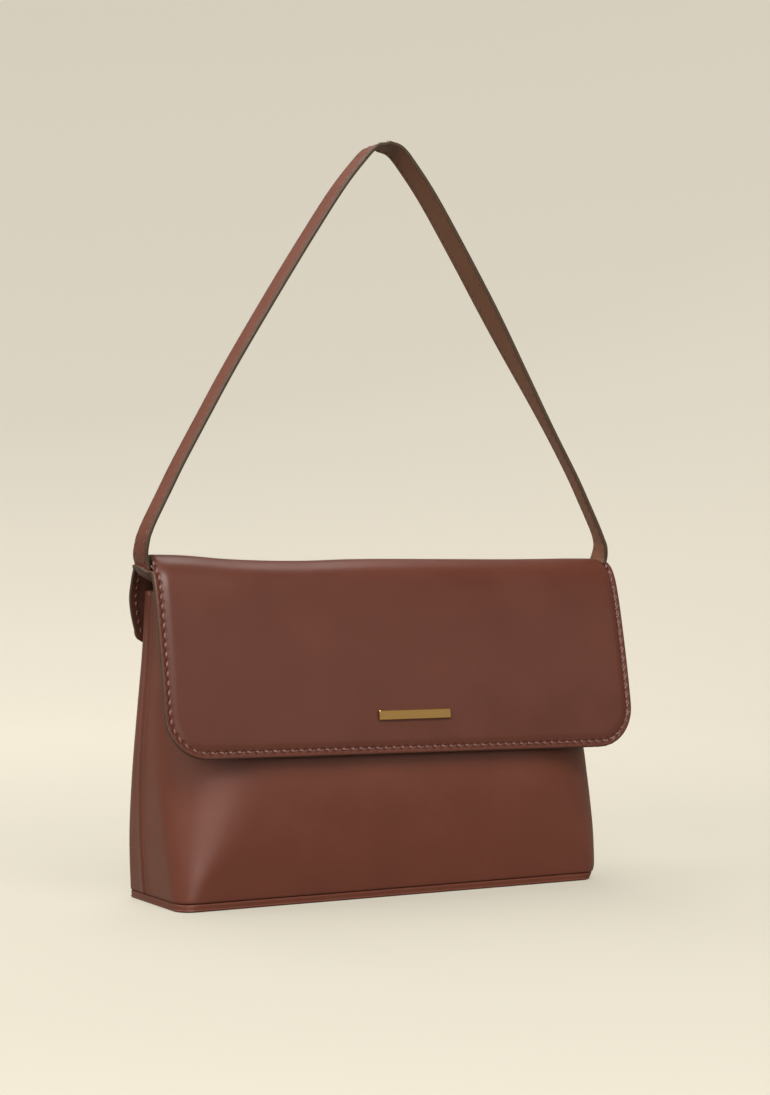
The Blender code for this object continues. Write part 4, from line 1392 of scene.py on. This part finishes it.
def stage_material():
    """Pale to the camera and through glass, less so in gloss; a dim surface to other rays."""
    material, tree, shader = new_material("backdrop")
    distance = add_node(tree, "VectorMath", {0: object_place(tree)}, operation="LENGTH")
    distance = distance.outputs["Value"]
    rise = ramp(tree, distance, *SEEN_RISE, 0.0, 1.0)
    seen = blend_colours(tree, rise, SEEN_FLOOR, SEEN_WALL)
    rays = add_node(tree, "LightPath", {}).outputs
    glossy = math_node(tree, "MULTIPLY", rays["Is Glossy Ray"], GLOSSY_SHARE)
    seen_ray = math_node(tree, "MAXIMUM", rays["Is Camera Ray"], rays["Is Transmission Ray"])
    seen_ray = math_node(tree, "MAXIMUM", seen_ray, glossy)
    far = math_node(tree, "DIVIDE", distance, UNSEEN_REACH)
    unseen = add_node(tree, "ValToRGB", {"Fac": far})
    stops = unseen.color_ramp.elements
    while len(stops) < len(UNSEEN_TINTS):
        stops.new(0.5)
    for stop, (place, tint) in zip(stops, UNSEEN_TINTS):
        stop.position = place
        stop.color = (*(value * tint for value in FLOOR_TINT), 1.0)
    inputs = {
        "Base Color": blend_colours(tree, seen_ray, unseen.outputs["Color"], seen),
        "Roughness": 1.0,
        "Specular IOR Level": 0.0,
    }
    fill(tree, shader, inputs)
    glow = add_node(tree, "Emission", {"Color": seen}).outputs["Emission"]
    share = math_node(tree, "MULTIPLY", seen_ray, SEEN_GLOW)
    mix = add_node(tree, "MixShader", {"Fac": share, 1: shader.outputs["BSDF"], 2: glow})
    fill(tree, tree.nodes["Material Output"], {"Surface": mix.outputs[0]})
    return material


def build_stage():
    """A round seamless backdrop: a flat floor that curves up into a wall."""
    floor = STAGE_RADIUS - STAGE_CURVE
    profile = [(0.001, 0.0), (floor, 0.0)]
    for step in range(1, CURVE_STEPS + 1):
        angle = math.pi / 2 * step / CURVE_STEPS
        profile.append((floor + STAGE_CURVE * math.sin(angle), STAGE_CURVE * (1 - math.cos(angle))))
    profile.append((STAGE_RADIUS, STAGE_HEIGHT))
    turns = [2 * math.pi * step / STAGE_SIDES for step in range(STAGE_SIDES)]
    rows = [
        [Vector((radius * math.cos(turn), radius * math.sin(turn), height)) for turn in turns]
        for radius, height in profile
    ]
    backdrop = add_piece("backdrop", grid_mesh("backdrop", rows, closed=True), stage_material())


# Each light's name, azimuth, elevation, distance, size, power, colour, and the kind of reflection
# that it stays out of
LIGHTS = (
    ("key", -14, 43, 1.9, (1.0, 0.9), 22, (1.0, 0.96, 0.92), None),
    ("side", -60, 20, 1.6, (0.9, 0.6), 8.5, (1.0, 0.96, 0.92), "glossy"),
    ("fill", 26, 12, 1.9, (1.0, 0.6), 9, (1.0, 0.95, 0.90), "glossy"),
    ("left", -105, 38, 2.1, (1.7, 1.5), 19, (1.0, 0.96, 0.91), None),
    ("overhead", 180, 74, 1.7, (1.5, 1.0), 17, (1.0, 0.97, 0.93), None),
    ("rear", 172, 42, 2.0, (1.4, 1.0), 17, (1.0, 0.96, 0.92), "glossy"),
    ("low_front", -24, -8, 1.4, (0.90, 0.24), 16.0, (1.0, 0.92, 0.92), "diffuse"),
    ("bar_card", 31, 14, 1.4, (0.50, 0.34), 0.14, (1.0, 0.93, 0.82), "diffuse"),
)
WORLD_COLOUR = (1.0, 0.96, 0.90, 1.0)
WORLD_STRENGTH = 0.035


def build_lights():
    for values in LIGHTS:
        add_softbox(*values)
    world = bpy.data.worlds.new("studio")
    world.use_nodes = True
    background = world.node_tree.nodes["Background"]
    background.inputs["Color"].default_value = WORLD_COLOUR
    background.inputs["Strength"].default_value = WORLD_STRENGTH
    bpy.context.scene.world = world
    bpy.context.scene.view_settings.view_transform = "Standard"


build_panels()
build_base()
build_lining()
build_facing()
build_pocket()
build_tapes()
build_flap()
edge_band("flap_edge_paint", outline_loop())
edge_band("slot_edge_left", slot_loop(-1), hole=True)
edge_band("slot_edge_right", slot_loop(1), hole=True)
build_flap_stitches()
build_strap()
build_hardware()
build_camera()
build_stage()
build_lights()
